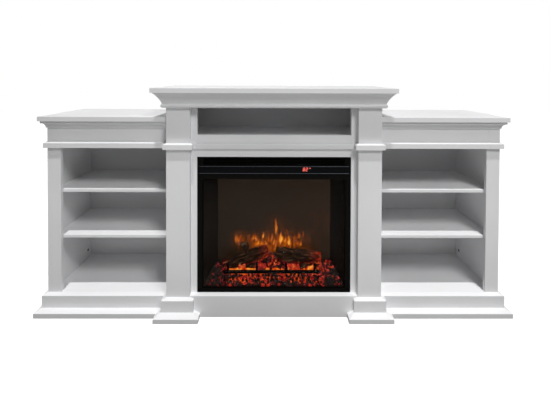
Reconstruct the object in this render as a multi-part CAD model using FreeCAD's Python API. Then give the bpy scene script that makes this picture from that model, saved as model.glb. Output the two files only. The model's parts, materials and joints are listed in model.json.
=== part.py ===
import FreeCAD, Part
import math
import os
from FreeCAD import Vector

# A white fireplace TV stand: a mantel with an electric fire insert between two open shelf cabinets.
# Millimetres. +Z is up, +X is to the right seen from the front, and the front faces -Y.
# The origin is on the floor, under the middle of the whole stand.

# Overall sizes and boards
DEPTH = 400.0  # front edge of the mantel top to the back
HEIGHT = 876.0  # floor to the mantel top
TOP_BOARD = 18.0  # mantel and side tops
BOARD = 15.0
BACK_BOARD = 5.0
BACK_SETBACK = 2.0  # back boards in front of the panels' back edges
EDGE_EASE = 1.5  # rounding of the board edges that show
SEAM = 1.2  # bevel along joints that show as fine lines

# Mantel top and its crown: a bead under a cove
MANTEL_OVERHANG = 45.0  # beyond the pilasters in front
MANTEL_END_OVERHANG = 47.5  # beyond the pilasters at both ends
MANTEL_JOINT_X = -161.0  # butt joint in the front edge
CROWN_H = 58.0
CROWN_REACH = 40.0  # how far the cove's top stands out from the pilasters
COVE_FOOT_REACH = 10.5
COVE_FOOT_H = 17.0  # above the crown's underside
COVE_SAG = 3.5  # hollow of the cove behind its chord
BEAD_R = 8.0
BEAD_REACH = 6.5  # bead's centre in front of the pilasters

# Centre part
OPENING_W = 594.0
SLOT_H = 107.0  # clear height of the media slot under the crown
HEARTH_H = 82.0
HEAD_RAIL_H = 32.0
SLOT_RAIL_H = 52.0
LIP_H = 19.0
LIP_REACH = 8.0
LIP_ROUND = 5.0
INNER_STILE_W = 23.0
PILASTER_W = 90.0
FASCIA_SETBACK = 24.0  # inner stiles and rails behind the pilaster fronts
MEDIA_SHELF_DROP = 7.0  # shelf below the rail in front of it
CABLE_NOTCH_W = 98.0  # notch in the media shelf's back edge
CABLE_NOTCH_D = 42.0
CABLE_NOTCH_X = -9.0
CABLE_NOTCH_R = 14.0

# Side cabinets
SIDE_W = 468.0  # pilaster to the outer face
SIDE_DROP = 112.0  # side tops below the mantel top
SIDE_SETBACK = 34.0  # side fronts behind the pilaster fronts
SIDE_OVERHANG = 25.0
SIDE_CROWN_H = 27.0
SIDE_CROWN_REACH = 18.0
SIDE_CROWN_FOOT = 4.0
SIDE_CROWN_STEP = 4.0  # the upper fillet stands this far in front of the cove's top
SIDE_CROWN_FILLET_H = 9.0
SIDE_CROWN_FOOT_H = 3.0
SIDE_COVE_SAG = 2.5
FRIEZE_H = 54.0  # plain frieze between band and crown
STILE_W = 51.0
FRIEZE_LAP = 9.0  # frieze's end let into the stile
FIXING_HOLE_R = 5.0
FIXING_HOLE_DEPTH = 10.0
FIXING_HOLE_BACK = 40.0  # hole's centre in front of the back
FIXING_HOLE_H = 34.0  # hole's centre above the deck

# Band round pilasters and side cabinets
BAND_REACH = 11.0
BAND_FACE_H = 18.0
BAND_ROUND_H = 5.0
BAND_BULGE = 1.0

# Plinths
BLOCK_REACH = 16.0
BLOCK_H = 71.0
BEVEL_H = 7.0
FOOT_FRONT_REACH = 25.0  # pilaster foot beyond its block
FOOT_SIDE_REACH = 23.0
FOOT_FACE_H = 17.0
FOOT_H = 28.0
SHOE_FRONT_REACH = 27.0  # side shoe beyond its block
SHOE_SIDE_REACH = 17.0
SHOE_FACE_H = 18.0
SHOE_H = 25.0

# Shelves
SHELF_T = 12.0
LOWER_BAY_H = 205.0
MIDDLE_BAY_H = 168.5
SHELF_SETBACK = 2.0  # behind the stile's back face
SHELF_PLAY = 1.0
PIN_R = 2.5
PIN_L = 16.0  # half of it in the panel
PIN_FLAT = 2.0  # shelf's seat above the pin's middle
PIN_INSET = 35.0  # pin's centre from the shelf's front and back edges
PIN_FIT = 0.05

# Fire insert: front
INSERT_GAP = 0.5  # bezel to the opening
BEZEL_RECESS = 1.0
BEZEL_T = 12.0
BORDER_SIDE = 20.0
BORDER_FOOT = 16.0
WINDOW_STRIP_H = 22.0  # plain strip over the window
DISPLAY_H = 29.0
OUTLET_H = 35.5  # from the display to the bezel's top
DISPLAY_REBATE = 6.0
DISPLAY_PROUD = 1.5
DISPLAY_INSET = 6.0  # strip's ends from the bezel's ends
DISPLAY_FIT = 0.2
OUTLET_MARGIN = 5.0
OUTLET_INSET = 24.0
SLAT_COUNT = 3
SLAT_T = 1.6
SLAT_DEPTH = 9.0
SLAT_TILT = 28.0
GLASS_T = 4.0
GLASS_LAP = 6.0

# Fire insert: casing and chamber
CASE_GAP = 10.0  # casing wall to the opening's side
CASE_D = 185.0
SHEET = 1.5
FLANGE_W = 24.0
CHAMBER_D = 96.0  # glass to flame screen
SCREEN_T = 4.0
SCREEN_W = 468.0  # part that shows between the splayed walls
SCREEN_LAP = 6.0
CEILING_GAP = 4.0  # chamber ceiling above the window
VENT_COUNT = 9
VENT_W = 34.0
VENT_H = 5.0
VENT_PITCH = 50.0
VENT_DROP = 26.0  # vent row below the casing's top

# Ember bed, logs and grate
BED_FIT = 0.5
BED_WALL = 4.0
BED_FRONT_H = 9.0
BED_KNEE_Y = 34.0  # from the bed's front to its steeper part
BED_KNEE_H = 33.0
BED_BACK_H = 76.0
HEAP_H = 108.0  # top of the moulded heap that carries the log ends
HEAP_TOP_W = 150.0
HEAP_FOOT_W = 250.0
HEAP_TOP_D = 16.0
HEAP_FOOT_D = 44.0
HEAP_X = 30.0
HEAP_BACK = 6.0  # heap's back edge from the bed's back edge
LOG_FIT = 0.3
LOG_SIDES = 14  # flats round a log
LEFT_LOG_FOOT_X = -204.0  # log ends in the chamber: X from its middle, Y from the glass, Z from the floor
LEFT_LOG_FOOT_Y = 48.0
LEFT_LOG_FOOT_Z = 74.0
LEFT_LOG_TOP_X = -24.0
LEFT_LOG_TOP_Y = 64.0
LEFT_LOG_TOP_Z = 126.0
LEFT_LOG_RADII = (19.0, 26.0, 26.5, 28.0, 26.0, 23.0)
RIGHT_LOG_TOP_X = 8.0
RIGHT_LOG_TOP_Y = 64.0
RIGHT_LOG_TOP_Z = 112.0
RIGHT_LOG_FOOT_X = 190.0
RIGHT_LOG_FOOT_Y = 56.0
RIGHT_LOG_FOOT_Z = 98.0
RIGHT_LOG_RADII = (24.0, 28.0, 26.0, 27.5, 25.0, 20.0)
KNOT_R = 12.0
KNOT_REACH = 54.0  # stub's end from the log's axis
KNOT_PLACE = 0.5  # along the left log
GRATE_X = -10.0
GRATE_HALF = 189.0
GRATE_BAR = 10.0
GRATE_Y = 14.0  # bar's middle behind the glass
GRATE_H = 63.0  # bar's middle above the floor
POST_COUNT = 4
POST_PITCH = 114.0  # between the inner posts
POST_INSET = 18.0  # outer posts' middles from the bar's ends
POST_W = 9.0
POST_TOP = 36.0  # above the bar's middle

# Light bar, flame spindle and its motor
LIGHT_HALF = 190.0
LIGHT_W = 18.0
LIGHT_T = 2.0
LED_COUNT = 14
LED_SIZE = 6.0
LED_H = 2.0
SPINDLE_BEHIND = 34.0  # axis behind the flame screen
SPINDLE_H = 66.0  # axis above the floor
SPINDLE_R = 4.0
SPINDLE_IN = 10.0  # length inside the motor
BLADE_COUNT = 12
BLADE_R = 17.0
BLADE_L = 26.0
BLADE_T = 0.8
BLADE_TURN = 67.5  # turn from one blade to the next
BEARING_FIT = 0.05
BRACKET_HALF = 12.0
MOTOR_L = 38.0
MOTOR_HALF = 20.0
MOTOR_CAN_R = 17.0
MOTOR_CAN_L = 16.0
MOTOR_GAP = 15.5  # can's end to the casing's side

# Blower and heater, over the chamber
BLOWER_Y = 80.0  # wheel's axis behind the glass
WHEEL_R = 22.0
WHEEL_HALF = 105.0
WHEEL_GAP = 5.0  # wheel to scroll, and wheel ends to end plates
DISC_T = 1.5
VANE_COUNT = 15
VANE_W = 6.0
VANE_T = 0.8
VANE_LEAN = 35.0
SHAFT_R = 3.0
DUCT_FRONT = 8.0  # duct's mouth behind the glass
DUCT_GAP = 1.0  # duct below the casing's top
INTAKE_HALF = 12.0
INTAKE_COUNT = 4
INTAKE_RIB = 8.0
FAN_MOTOR_R = 18.0
FAN_MOTOR_L = 36.0
SHAFT_IN = 14.0  # shaft's length inside the motor
FIN_COUNT = 17
FIN_PITCH = 12.0
FIN_T = 1.0
FIN_H = 20.0
FIN_D = 18.0
CORE_H = 8.0
CORE_D = 12.0
HEATER_BACK = 21.0  # core behind the duct's mouth
HEATER_DROP = 9.0  # core below the middle of the mouth

# Power inlet and rocker switch on the casing's back
INLET_SIDE = 97.0  # middle from the casing's side
INLET_H = 60.0  # middle above the floor
INLET_W = 56.0
INLET_HALF_H = 18.0
INLET_FLANGE_T = 2.0
INLET_LAP = 3.0
INLET_D = 22.0
INLET_FIT = 0.2
SOCKET_X = 11.0
SOCKET_W = 24.0
SOCKET_H = 17.0
SOCKET_D = 16.0
PRONG_W = 2.0
PRONG_H = 6.0
PRONG_L = 12.0
PRONG_PITCH = 7.0
WELL_X = -15.0
WELL_W = 14.0
WELL_H = 25.0
WELL_D = 14.0
ROCKER_W = 13.2
ROCKER_HALF_H = 10.5
ROCKER_AXIS_IN = 1.0  # pivot behind the flange's seat
ROCKER_PROUD = 4.5
ROCKER_DISH = 2.5
ROCKER_BACK = 5.0
ROCKER_TILT = 7.0
TRUNNION_R = 1.5
TRUNNION_L = 2.0

# Planes and levels that follow from the sizes
BACK_Y = DEPTH / 2
BACKS_Y = BACK_Y - BACK_SETBACK  # back face of the back boards
INNER_BACK_Y = BACKS_Y - BACK_BOARD
SHAFT_Y = -DEPTH / 2 + MANTEL_OVERHANG
FASCIA_Y = SHAFT_Y + FASCIA_SETBACK
FASCIA_BACK_Y = FASCIA_Y + BOARD
SIDE_Y = SHAFT_Y + SIDE_SETBACK
OPEN_X = OPENING_W / 2
PILASTER_X = OPEN_X + INNER_STILE_W
CENTRE_X = PILASTER_X + PILASTER_W
OUTER_X = CENTRE_X + SIDE_W
WALL_X = OUTER_X - BOARD
MANTEL_Z = HEIGHT - TOP_BOARD
CROWN_Z = MANTEL_Z - CROWN_H
SLOT_Z = CROWN_Z - SLOT_H
MEDIA_SHELF_Z = SLOT_Z - MEDIA_SHELF_DROP
RAIL_Z = SLOT_Z - SLOT_RAIL_H
HEAD_Z = RAIL_Z - HEAD_RAIL_H
SIDE_Z = HEIGHT - SIDE_DROP
SIDE_BOARD_Z = SIDE_Z - TOP_BOARD
SIDE_CROWN_Z = SIDE_BOARD_Z - SIDE_CROWN_H
BAND_Z = SIDE_CROWN_Z - FRIEZE_H - BAND_ROUND_H - BAND_FACE_H
DECK_Z = BLOCK_H + BEVEL_H
LOWER_SHELF_Z = DECK_Z + LOWER_BAY_H
UPPER_SHELF_Z = LOWER_SHELF_Z + SHELF_T + MIDDLE_BAY_H

BEZEL_X = OPEN_X - INSERT_GAP
BEZEL_Y = FASCIA_Y + BEZEL_RECESS
BEZEL_BACK_Y = BEZEL_Y + BEZEL_T
BEZEL_TOP_Z = HEAD_Z - INSERT_GAP
WINDOW_X = BEZEL_X - BORDER_SIDE
WINDOW_Z = HEARTH_H + BORDER_FOOT
DISPLAY_Z = BEZEL_TOP_Z - OUTLET_H - DISPLAY_H
WINDOW_TOP_Z = DISPLAY_Z - WINDOW_STRIP_H
OUTLET_Z = DISPLAY_Z + DISPLAY_H + OUTLET_MARGIN
OUTLET_TOP_Z = BEZEL_TOP_Z - OUTLET_MARGIN
CASE_X = OPEN_X - CASE_GAP
CASE_IN_X = CASE_X - SHEET
CASE_BACK_Y = BEZEL_BACK_Y + CASE_D
CASE_TOP_Z = OUTLET_TOP_Z + SHEET
FLOOR_Z = HEARTH_H + SHEET
CHAMBER_Y = BEZEL_BACK_Y + GLASS_T
SCREEN_Y = CHAMBER_Y + CHAMBER_D
CEILING_Z = WINDOW_TOP_Z + CEILING_GAP
LOFT_Z = CEILING_Z + SHEET  # floor of the blower space
SPINDLE_Y = SCREEN_Y + SCREEN_T + SPINDLE_BEHIND
SPINDLE_Z = FLOOR_Z + SPINDLE_H
SPINDLE_HALF = CASE_IN_X - MOTOR_GAP - MOTOR_CAN_L - MOTOR_L  # middle to bracket and to motor
SCROLL_R = WHEEL_R + WHEEL_GAP
WHEEL_Y = CHAMBER_Y + BLOWER_Y
WHEEL_Z = LOFT_Z + SHEET + SCROLL_R
PLATE_X = WHEEL_HALF + WHEEL_GAP  # inner face of the blower's end plates
MOUTH_Y = CHAMBER_Y + DUCT_FRONT
MOUTH_TOP_Z = OUTLET_TOP_Z - DUCT_GAP - SHEET
INLET_X = CASE_X - INLET_SIDE
INLET_Z = FLOOR_Z + INLET_H
ROCKER_Y = CASE_BACK_Y - ROCKER_AXIS_IN

X_AXIS = Vector(1, 0, 0)
Y_AXIS = Vector(0, 1, 0)
PAST = 1.0  # how far a cutter runs past the face it opens


def box(x0, x1, y0, y1, z0, z1):
    """Box between two corners."""
    return Part.makeBox(x1 - x0, y1 - y0, z1 - z0, Vector(x0, y0, z0))


def rod_x(x0, x1, y, z, radius):
    """Round bar along X."""
    return Part.makeCylinder(radius, x1 - x0, Vector(x0, y, z), X_AXIS)


def mirrored(shape):
    """The same piece for the left side."""
    return shape.mirror(Vector(0, 0, 0), X_AXIS)


def is_arc(item):
    """True for a pair of points, which stands for an arc through the first to the second."""
    return isinstance(item[0], tuple)


def end_of(item):
    """Point where a line or an arc of an outline ends."""
    return item[1] if is_arc(item) else item


def outline(items, place):
    """Closed face through 2-D points and arcs, put into space by the place function."""
    edges = []
    start = place(*items[0])
    for item in items[1:] + items[:1]:
        end = place(*end_of(item))
        if is_arc(item):
            edges.append(Part.Arc(start, place(*item[0]), end).toShape())
        else:
            edges.append(Part.makeLine(start, end))
        start = end
    return Part.Face(Part.Wire(edges))


def arc_to(start, end, sag):
    """Arc item from start to end that bows to the left by its sag."""
    along = (end[0] - start[0], end[1] - start[1])
    length = math.hypot(*along)
    middle_p = (start[0] + end[0]) / 2 - sag * along[1] / length
    middle_z = (start[1] + end[1]) / 2 + sag * along[0] / length
    return ((middle_p, middle_z), end)


def wrap(front, side, x0, x1, y0, y1, left, right):
    """Mitred moulding round the front and the chosen sides of a block; profiles are (reach, height)."""
    low = front[0][1]
    high = end_of(front[-1])[1]
    beyond = BLOCK_REACH + FOOT_FRONT_REACH + SHOE_FRONT_REACH + MANTEL_OVERHANG
    start = x0 - beyond if left else x0
    end = x1 + beyond if right else x1
    ground = [(y0 - y1, high), (y0 - y1, low)]
    moulding = outline(front + ground, lambda p, z: Vector(start, y0 - p, z)).extrude(X_AXIS * (end - start))
    ground = [(x0 - x1 - beyond, high), (x0 - x1 - beyond, low)]
    for wanted, wall, outward in ((left, x0, -1), (right, x1, 1)):
        if wanted:
            face = outline(side + ground, lambda p, z: Vector(wall + outward * p, y0 - beyond, z))
            moulding = moulding.common(face.extrude(Y_AXIS * (y1 - y0 + beyond)))
    return moulding.cut(box(x0, x1, y0, y1, low, high))


def eased(shape, radius, chosen):
    """Round the edges whose middle passes the test."""
    return shape.makeFillet(radius, [edge for edge in shape.Edges if chosen(edge.CenterOfMass)])


def bevelled(shape, chosen):
    """Bevel the edges of a joint whose middle passes the test."""
    return shape.makeChamfer(SEAM, [edge for edge in shape.Edges if chosen(edge.CenterOfMass)])


def near(value, target):
    """True where two coordinates are the same plane."""
    return abs(value - target) < BEARING_FIT


parts = {}


def keep(name, shape):
    """Store one piece under its name."""
    parts[name] = shape


def keep_both(name, shape):
    """Store a right piece and its mirror image."""
    keep(name + "_right", shape)
    keep(name + "_left", mirrored(shape))


# Moulding profiles, from bottom to top
def crown_profile(overhang):
    """Bead under a cove that ends at one distance behind the mantel's edge, whatever its overhang."""
    extra = overhang - MANTEL_OVERHANG
    middle_z = CROWN_Z + BEAD_R
    end_z = middle_z + math.sqrt(BEAD_R ** 2 - (COVE_FOOT_REACH - BEAD_REACH) ** 2)
    cove_foot = (COVE_FOOT_REACH + extra, CROWN_Z + COVE_FOOT_H)
    return [
        (0, CROWN_Z),
        (BEAD_REACH + extra, CROWN_Z),
        ((BEAD_REACH + BEAD_R + extra, middle_z), (COVE_FOOT_REACH + extra, end_z)),
        cove_foot,
        arc_to(cove_foot, (CROWN_REACH + extra, MANTEL_Z), COVE_SAG),
        (0, MANTEL_Z),
    ]


band_edge = (BAND_REACH, BAND_Z + BAND_FACE_H)
BAND = [
    (0, BAND_Z),
    (BAND_REACH, BAND_Z),
    band_edge,
    arc_to(band_edge, (0, BAND_Z + BAND_FACE_H + BAND_ROUND_H), -BAND_BULGE),
]
side_cove_foot = (SIDE_CROWN_FOOT, SIDE_CROWN_Z + SIDE_CROWN_FOOT_H)
side_cove_top = (SIDE_CROWN_REACH - SIDE_CROWN_STEP, SIDE_BOARD_Z - SIDE_CROWN_FILLET_H)
SIDE_CROWN = [
    (0, SIDE_CROWN_Z),
    (SIDE_CROWN_FOOT, SIDE_CROWN_Z),
    side_cove_foot,
    arc_to(side_cove_foot, side_cove_top, SIDE_COVE_SAG),
    (SIDE_CROWN_REACH, SIDE_BOARD_Z - SIDE_CROWN_FILLET_H),
    (SIDE_CROWN_REACH, SIDE_BOARD_Z),
    (0, SIDE_BOARD_Z),
]


def plinth_profile(foot_reach, face_h, foot_h):
    """Block with a bevelled top over a sloped foot."""
    foot = BLOCK_REACH + foot_reach
    return [(0, 0), (foot, 0), (foot, face_h), (BLOCK_REACH, foot_h), (BLOCK_REACH, BLOCK_H), (0, DECK_Z)]


# Mantel top and crown
mantel_x = CENTRE_X + MANTEL_END_OVERHANG
mantel = box(-mantel_x, mantel_x, -BACK_Y, BACK_Y, MANTEL_Z, HEIGHT)
mantel = eased(mantel, EDGE_EASE, lambda c: near(c.z, HEIGHT) and not near(c.y, BACK_Y))
joint = box(MANTEL_JOINT_X - SEAM / 2, MANTEL_JOINT_X + SEAM / 2, -BACK_Y, -BACK_Y + SEAM, MANTEL_Z, HEIGHT)
keep("mantel_top", mantel.cut(joint))
front_crown = crown_profile(MANTEL_OVERHANG)
end_crown = crown_profile(MANTEL_END_OVERHANG)
keep("mantel_crown", wrap(front_crown, end_crown, -CENTRE_X, CENTRE_X, SHAFT_Y, BACK_Y, True, True))

# Pilasters: channels closed at the front, with their bands and plinths
shaft = box(PILASTER_X, CENTRE_X, SHAFT_Y, FASCIA_BACK_Y, 0, MANTEL_Z)
hollow = box(PILASTER_X + BOARD, CENTRE_X - BOARD, SHAFT_Y + BOARD, FASCIA_BACK_Y, 0, MANTEL_Z)
shaft = eased(shaft.cut(hollow), EDGE_EASE,
              lambda c: near(c.y, SHAFT_Y) and (near(c.x, PILASTER_X) or near(c.x, CENTRE_X)))
keep_both("pilaster", shaft)
inner_band = box(0, PILASTER_X, FASCIA_Y, SIDE_Y, 0, HEIGHT)
band = wrap(BAND, BAND, PILASTER_X, CENTRE_X, SHAFT_Y, SIDE_Y, True, True).cut(inner_band)
keep_both("pilaster_band", band)
inner_plinth = box(0, PILASTER_X, SHAFT_Y, SIDE_Y, 0, HEIGHT)
foot_front = plinth_profile(FOOT_FRONT_REACH, FOOT_FACE_H, FOOT_H)
foot_side = plinth_profile(FOOT_SIDE_REACH, FOOT_FACE_H, FOOT_H)
plinth = wrap(foot_front, foot_side, PILASTER_X, CENTRE_X, SHAFT_Y, SIDE_Y, True, True).cut(inner_plinth)
keep_both("pilaster_plinth", plinth)

# Frame of the opening and of the media slot
inner_stile = box(OPEN_X, PILASTER_X, FASCIA_Y, FASCIA_BACK_Y, HEARTH_H, MANTEL_Z)
keep_both("inner_stile", bevelled(inner_stile, lambda c: near(c.y, FASCIA_Y) and near(c.x, OPEN_X)))
for name, low, high in (("head_rail", HEAD_Z, RAIL_Z), ("slot_rail", RAIL_Z, SLOT_Z)):
    rail = box(-OPEN_X, OPEN_X, FASCIA_Y, FASCIA_BACK_Y, low, high)
    keep(name, bevelled(rail, lambda c: near(c.y, FASCIA_Y) and near(abs(c.x), OPEN_X)))
lip_x = PILASTER_X - BAND_REACH
lip = box(-lip_x, lip_x, FASCIA_Y - LIP_REACH, FASCIA_Y, RAIL_Z, RAIL_Z + LIP_H)
keep("slot_lip", eased(lip, LIP_ROUND, lambda c: near(c.y, FASCIA_Y - LIP_REACH) and near(c.z, RAIL_Z + LIP_H)))
inside_x = CENTRE_X - BOARD
shelf_foot_z = MEDIA_SHELF_Z - BOARD
shelf_middle_z = MEDIA_SHELF_Z - BOARD / 2
notch_y = INNER_BACK_Y - CABLE_NOTCH_D
notch = box(CABLE_NOTCH_X - CABLE_NOTCH_W / 2, CABLE_NOTCH_X + CABLE_NOTCH_W / 2, notch_y, INNER_BACK_Y,
            shelf_foot_z, MEDIA_SHELF_Z)
notch = eased(notch, CABLE_NOTCH_R, lambda c: near(c.y, notch_y) and near(c.z, shelf_middle_z))
media_shelf = box(-inside_x, inside_x, FASCIA_BACK_Y, INNER_BACK_Y, shelf_foot_z, MEDIA_SHELF_Z)
keep("media_shelf", media_shelf.cut(notch))
keep("media_back", box(-inside_x, inside_x, INNER_BACK_Y, BACKS_Y, shelf_foot_z, MANTEL_Z))

# Hearth
rail_back_y = SHAFT_Y + BOARD
rail = box(-PILASTER_X, PILASTER_X, SHAFT_Y, rail_back_y, 0, HEARTH_H)
keep("hearth_rail", eased(rail, EDGE_EASE, lambda c: near(c.y, SHAFT_Y) and near(c.z, HEARTH_H)))
hearth = box(-PILASTER_X, PILASTER_X, rail_back_y, FASCIA_BACK_Y, HEARTH_H - BOARD, HEARTH_H)
hearth = hearth.fuse(box(-inside_x, inside_x, FASCIA_BACK_Y, BACK_Y, HEARTH_H - BOARD, HEARTH_H))
keep("hearth_deck", hearth.removeSplitter())

# Side cabinets
stile_x = OUTER_X - STILE_W
stile_back_y = SIDE_Y + BOARD
side_top = box(CENTRE_X, OUTER_X + SIDE_OVERHANG, SIDE_Y - SIDE_OVERHANG, BACK_Y, SIDE_BOARD_Z, SIDE_Z)
keep_both("side_top", eased(side_top, EDGE_EASE,
                            lambda c: near(c.z, SIDE_Z) and not near(c.y, BACK_Y) and not near(c.x, CENTRE_X)))
keep_both("side_crown", wrap(SIDE_CROWN, SIDE_CROWN, CENTRE_X, OUTER_X, SIDE_Y, BACK_Y, False, True))
frieze_end = stile_x + FRIEZE_LAP
frieze = box(CENTRE_X, frieze_end, SIDE_Y, stile_back_y, BAND_Z, SIDE_BOARD_Z)
keep_both("frieze", bevelled(frieze, lambda c: near(c.y, SIDE_Y) and near(c.x, frieze_end)))
side_band = wrap(BAND, BAND, CENTRE_X, OUTER_X, SIDE_Y, BACK_Y, False, True)
band_y = SIDE_Y - BAND_REACH
joint = box(frieze_end - SEAM / 2, frieze_end + SEAM / 2, band_y, band_y + SEAM, BAND_Z, BAND_Z + BAND_FACE_H)
keep_both("side_band", side_band.cut([band, joint]))
stile = box(stile_x, OUTER_X, SIDE_Y, stile_back_y, 0, SIDE_BOARD_Z)
keep_both("stile", stile.cut(frieze))
deck = box(CENTRE_X, WALL_X, SIDE_Y, INNER_BACK_Y, DECK_Z - BOARD, DECK_Z)
keep_both("deck", deck.cut(stile))
keep_both("back_panel", box(CENTRE_X, WALL_X, INNER_BACK_Y, BACKS_Y, DECK_Z - BOARD, SIDE_BOARD_Z))
shoe_front = plinth_profile(SHOE_FRONT_REACH, SHOE_FACE_H, SHOE_H)
shoe_side = plinth_profile(SHOE_SIDE_REACH, SHOE_FACE_H, SHOE_H)
side_plinth = wrap(shoe_front, shoe_side, CENTRE_X, OUTER_X, SIDE_Y, BACK_Y, False, True)
keep_both("side_plinth", side_plinth.cut(plinth))

# Shelves on pins
shelf_y = stile_back_y + SHELF_SETBACK
shelf_back_y = INNER_BACK_Y - SHELF_PLAY
pins = []
pin_holes = []
for name, level in (("lower_shelf", LOWER_SHELF_Z), ("upper_shelf", UPPER_SHELF_Z)):
    shelf = box(CENTRE_X + SHELF_PLAY, WALL_X - SHELF_PLAY, shelf_y, shelf_back_y, level, level + SHELF_T)
    keep_both(name, eased(shelf, EDGE_EASE, lambda c: near(c.y, shelf_y) and not near(c.z, level + SHELF_T / 2)))
    for pin_y in (shelf_y + PIN_INSET, shelf_back_y - PIN_INSET):
        for wall in (CENTRE_X, WALL_X):
            pin_z = level - PIN_FLAT
            pin = rod_x(wall - PIN_L / 2, wall + PIN_L / 2, pin_y, pin_z, PIN_R)
            seat = box(CENTRE_X, WALL_X, pin_y - PIN_R, pin_y + PIN_R, level, level + PIN_R)
            pins.append(pin.cut(seat))
            pin_holes.append(rod_x(wall - PIN_L / 2, wall + PIN_L / 2, pin_y, pin_z, PIN_R + PIN_FIT))
keep("shelf_pins", Part.makeCompound(pins + [mirrored(pin) for pin in pins]))
panel = box(inside_x, CENTRE_X, FASCIA_BACK_Y, BACK_Y, 0, MANTEL_Z)
keep_both("centre_panel", panel.cut(pin_holes))
fixing_y = BACK_Y - FIXING_HOLE_BACK
fixing_hole = rod_x(WALL_X, WALL_X + FIXING_HOLE_DEPTH, fixing_y, DECK_Z + FIXING_HOLE_H, FIXING_HOLE_R)
panel = box(WALL_X, OUTER_X, stile_back_y, BACK_Y, 0, SIDE_BOARD_Z)
keep_both("outer_panel", panel.cut(pin_holes + [fixing_hole]))

# Insert front: bezel with window, display rebate and louvred outlet
bezel = box(-BEZEL_X, BEZEL_X, BEZEL_Y, BEZEL_BACK_Y, HEARTH_H, BEZEL_TOP_Z)
bezel = bezel.cut(box(-WINDOW_X, WINDOW_X, BEZEL_Y, BEZEL_BACK_Y, WINDOW_Z, WINDOW_TOP_Z))
display_x = BEZEL_X - DISPLAY_INSET
rebate_y = BEZEL_Y + DISPLAY_REBATE
bezel = bezel.cut(box(-display_x, display_x, BEZEL_Y, rebate_y, DISPLAY_Z, DISPLAY_Z + DISPLAY_H))
outlet_x = BEZEL_X - OUTLET_INSET
bezel = bezel.cut(box(-outlet_x, outlet_x, BEZEL_Y, BEZEL_BACK_Y, OUTLET_Z, OUTLET_TOP_Z))
for number in range(SLAT_COUNT):
    slat_z = OUTLET_Z + (OUTLET_TOP_Z - OUTLET_Z) * (number + 1) / (SLAT_COUNT + 1)
    middle_y = (BEZEL_Y + BEZEL_BACK_Y) / 2
    slat = box(-outlet_x - PAST, outlet_x + PAST, middle_y - SLAT_DEPTH / 2, middle_y + SLAT_DEPTH / 2,
               slat_z - SLAT_T / 2, slat_z + SLAT_T / 2)
    slat.rotate(Vector(0, middle_y, slat_z), X_AXIS, SLAT_TILT)
    bezel = bezel.fuse(slat)
keep("front_bezel", bezel.removeSplitter())
strip_y = BEZEL_Y - DISPLAY_PROUD
strip_x = display_x - DISPLAY_FIT
strip = box(-strip_x, strip_x, strip_y, rebate_y, DISPLAY_Z + DISPLAY_FIT, DISPLAY_Z + DISPLAY_H - DISPLAY_FIT)
keep("display_strip", eased(strip, DISPLAY_PROUD / 2, lambda c: near(c.y, strip_y)))
glass_x = WINDOW_X + GLASS_LAP
keep("front_glass", box(-glass_x, glass_x, BEZEL_BACK_Y, CHAMBER_Y, WINDOW_Z - GLASS_LAP, WINDOW_TOP_Z + GLASS_LAP))

# Power inlet module with its rocker, let into the casing's back
module_x = INLET_W / 2
body_x = module_x - INLET_LAP
body_h = INLET_HALF_H - INLET_LAP
flange_y = CASE_BACK_Y + INLET_FLANGE_T
module = box(-module_x, module_x, CASE_BACK_Y, flange_y, -INLET_HALF_H, INLET_HALF_H)
module = module.fuse(box(-body_x, body_x, CASE_BACK_Y - INLET_D, CASE_BACK_Y, -body_h, body_h)).removeSplitter()
socket_y = flange_y - SOCKET_D
module = module.cut(box(SOCKET_X - SOCKET_W / 2, SOCKET_X + SOCKET_W / 2, socket_y, flange_y,
                        -SOCKET_H / 2, SOCKET_H / 2))
for number in (-1, 0, 1):
    prong_x = SOCKET_X + number * PRONG_PITCH
    module = module.fuse(box(prong_x - PRONG_W / 2, prong_x + PRONG_W / 2, socket_y - PAST, socket_y + PRONG_L,
                             -PRONG_H / 2, PRONG_H / 2))
module = module.cut(box(WELL_X - WELL_W / 2, WELL_X + WELL_W / 2, flange_y - WELL_D, flange_y,
                        -WELL_H / 2, WELL_H / 2))
trunnion_x = ROCKER_W / 2 + TRUNNION_L
module = module.cut(rod_x(WELL_X - trunnion_x - BEARING_FIT, WELL_X + trunnion_x + BEARING_FIT, ROCKER_Y, 0,
                          TRUNNION_R + BEARING_FIT))
module.translate(Vector(INLET_X, 0, INLET_Z))
keep("power_inlet", module)
rocker_half = ROCKER_W / 2
rocker_side = [
    (-ROCKER_BACK, -ROCKER_BACK),
    (ROCKER_DISH, -ROCKER_HALF_H),
    (ROCKER_PROUD, -ROCKER_HALF_H),
    (ROCKER_DISH, 0),
    (ROCKER_PROUD, ROCKER_HALF_H),
    (ROCKER_DISH, ROCKER_HALF_H),
    (-ROCKER_BACK, ROCKER_BACK),
]
rocker = outline(rocker_side, lambda y, z: Vector(-rocker_half, y, z)).extrude(X_AXIS * ROCKER_W)
rocker = rocker.fuse(rod_x(-trunnion_x, trunnion_x, 0, 0, TRUNNION_R))
rocker.rotate(Vector(0, 0, 0), X_AXIS, ROCKER_TILT)
rocker.translate(Vector(INLET_X + WELL_X, ROCKER_Y, INLET_Z))
keep("rocker_switch", rocker)

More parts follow.
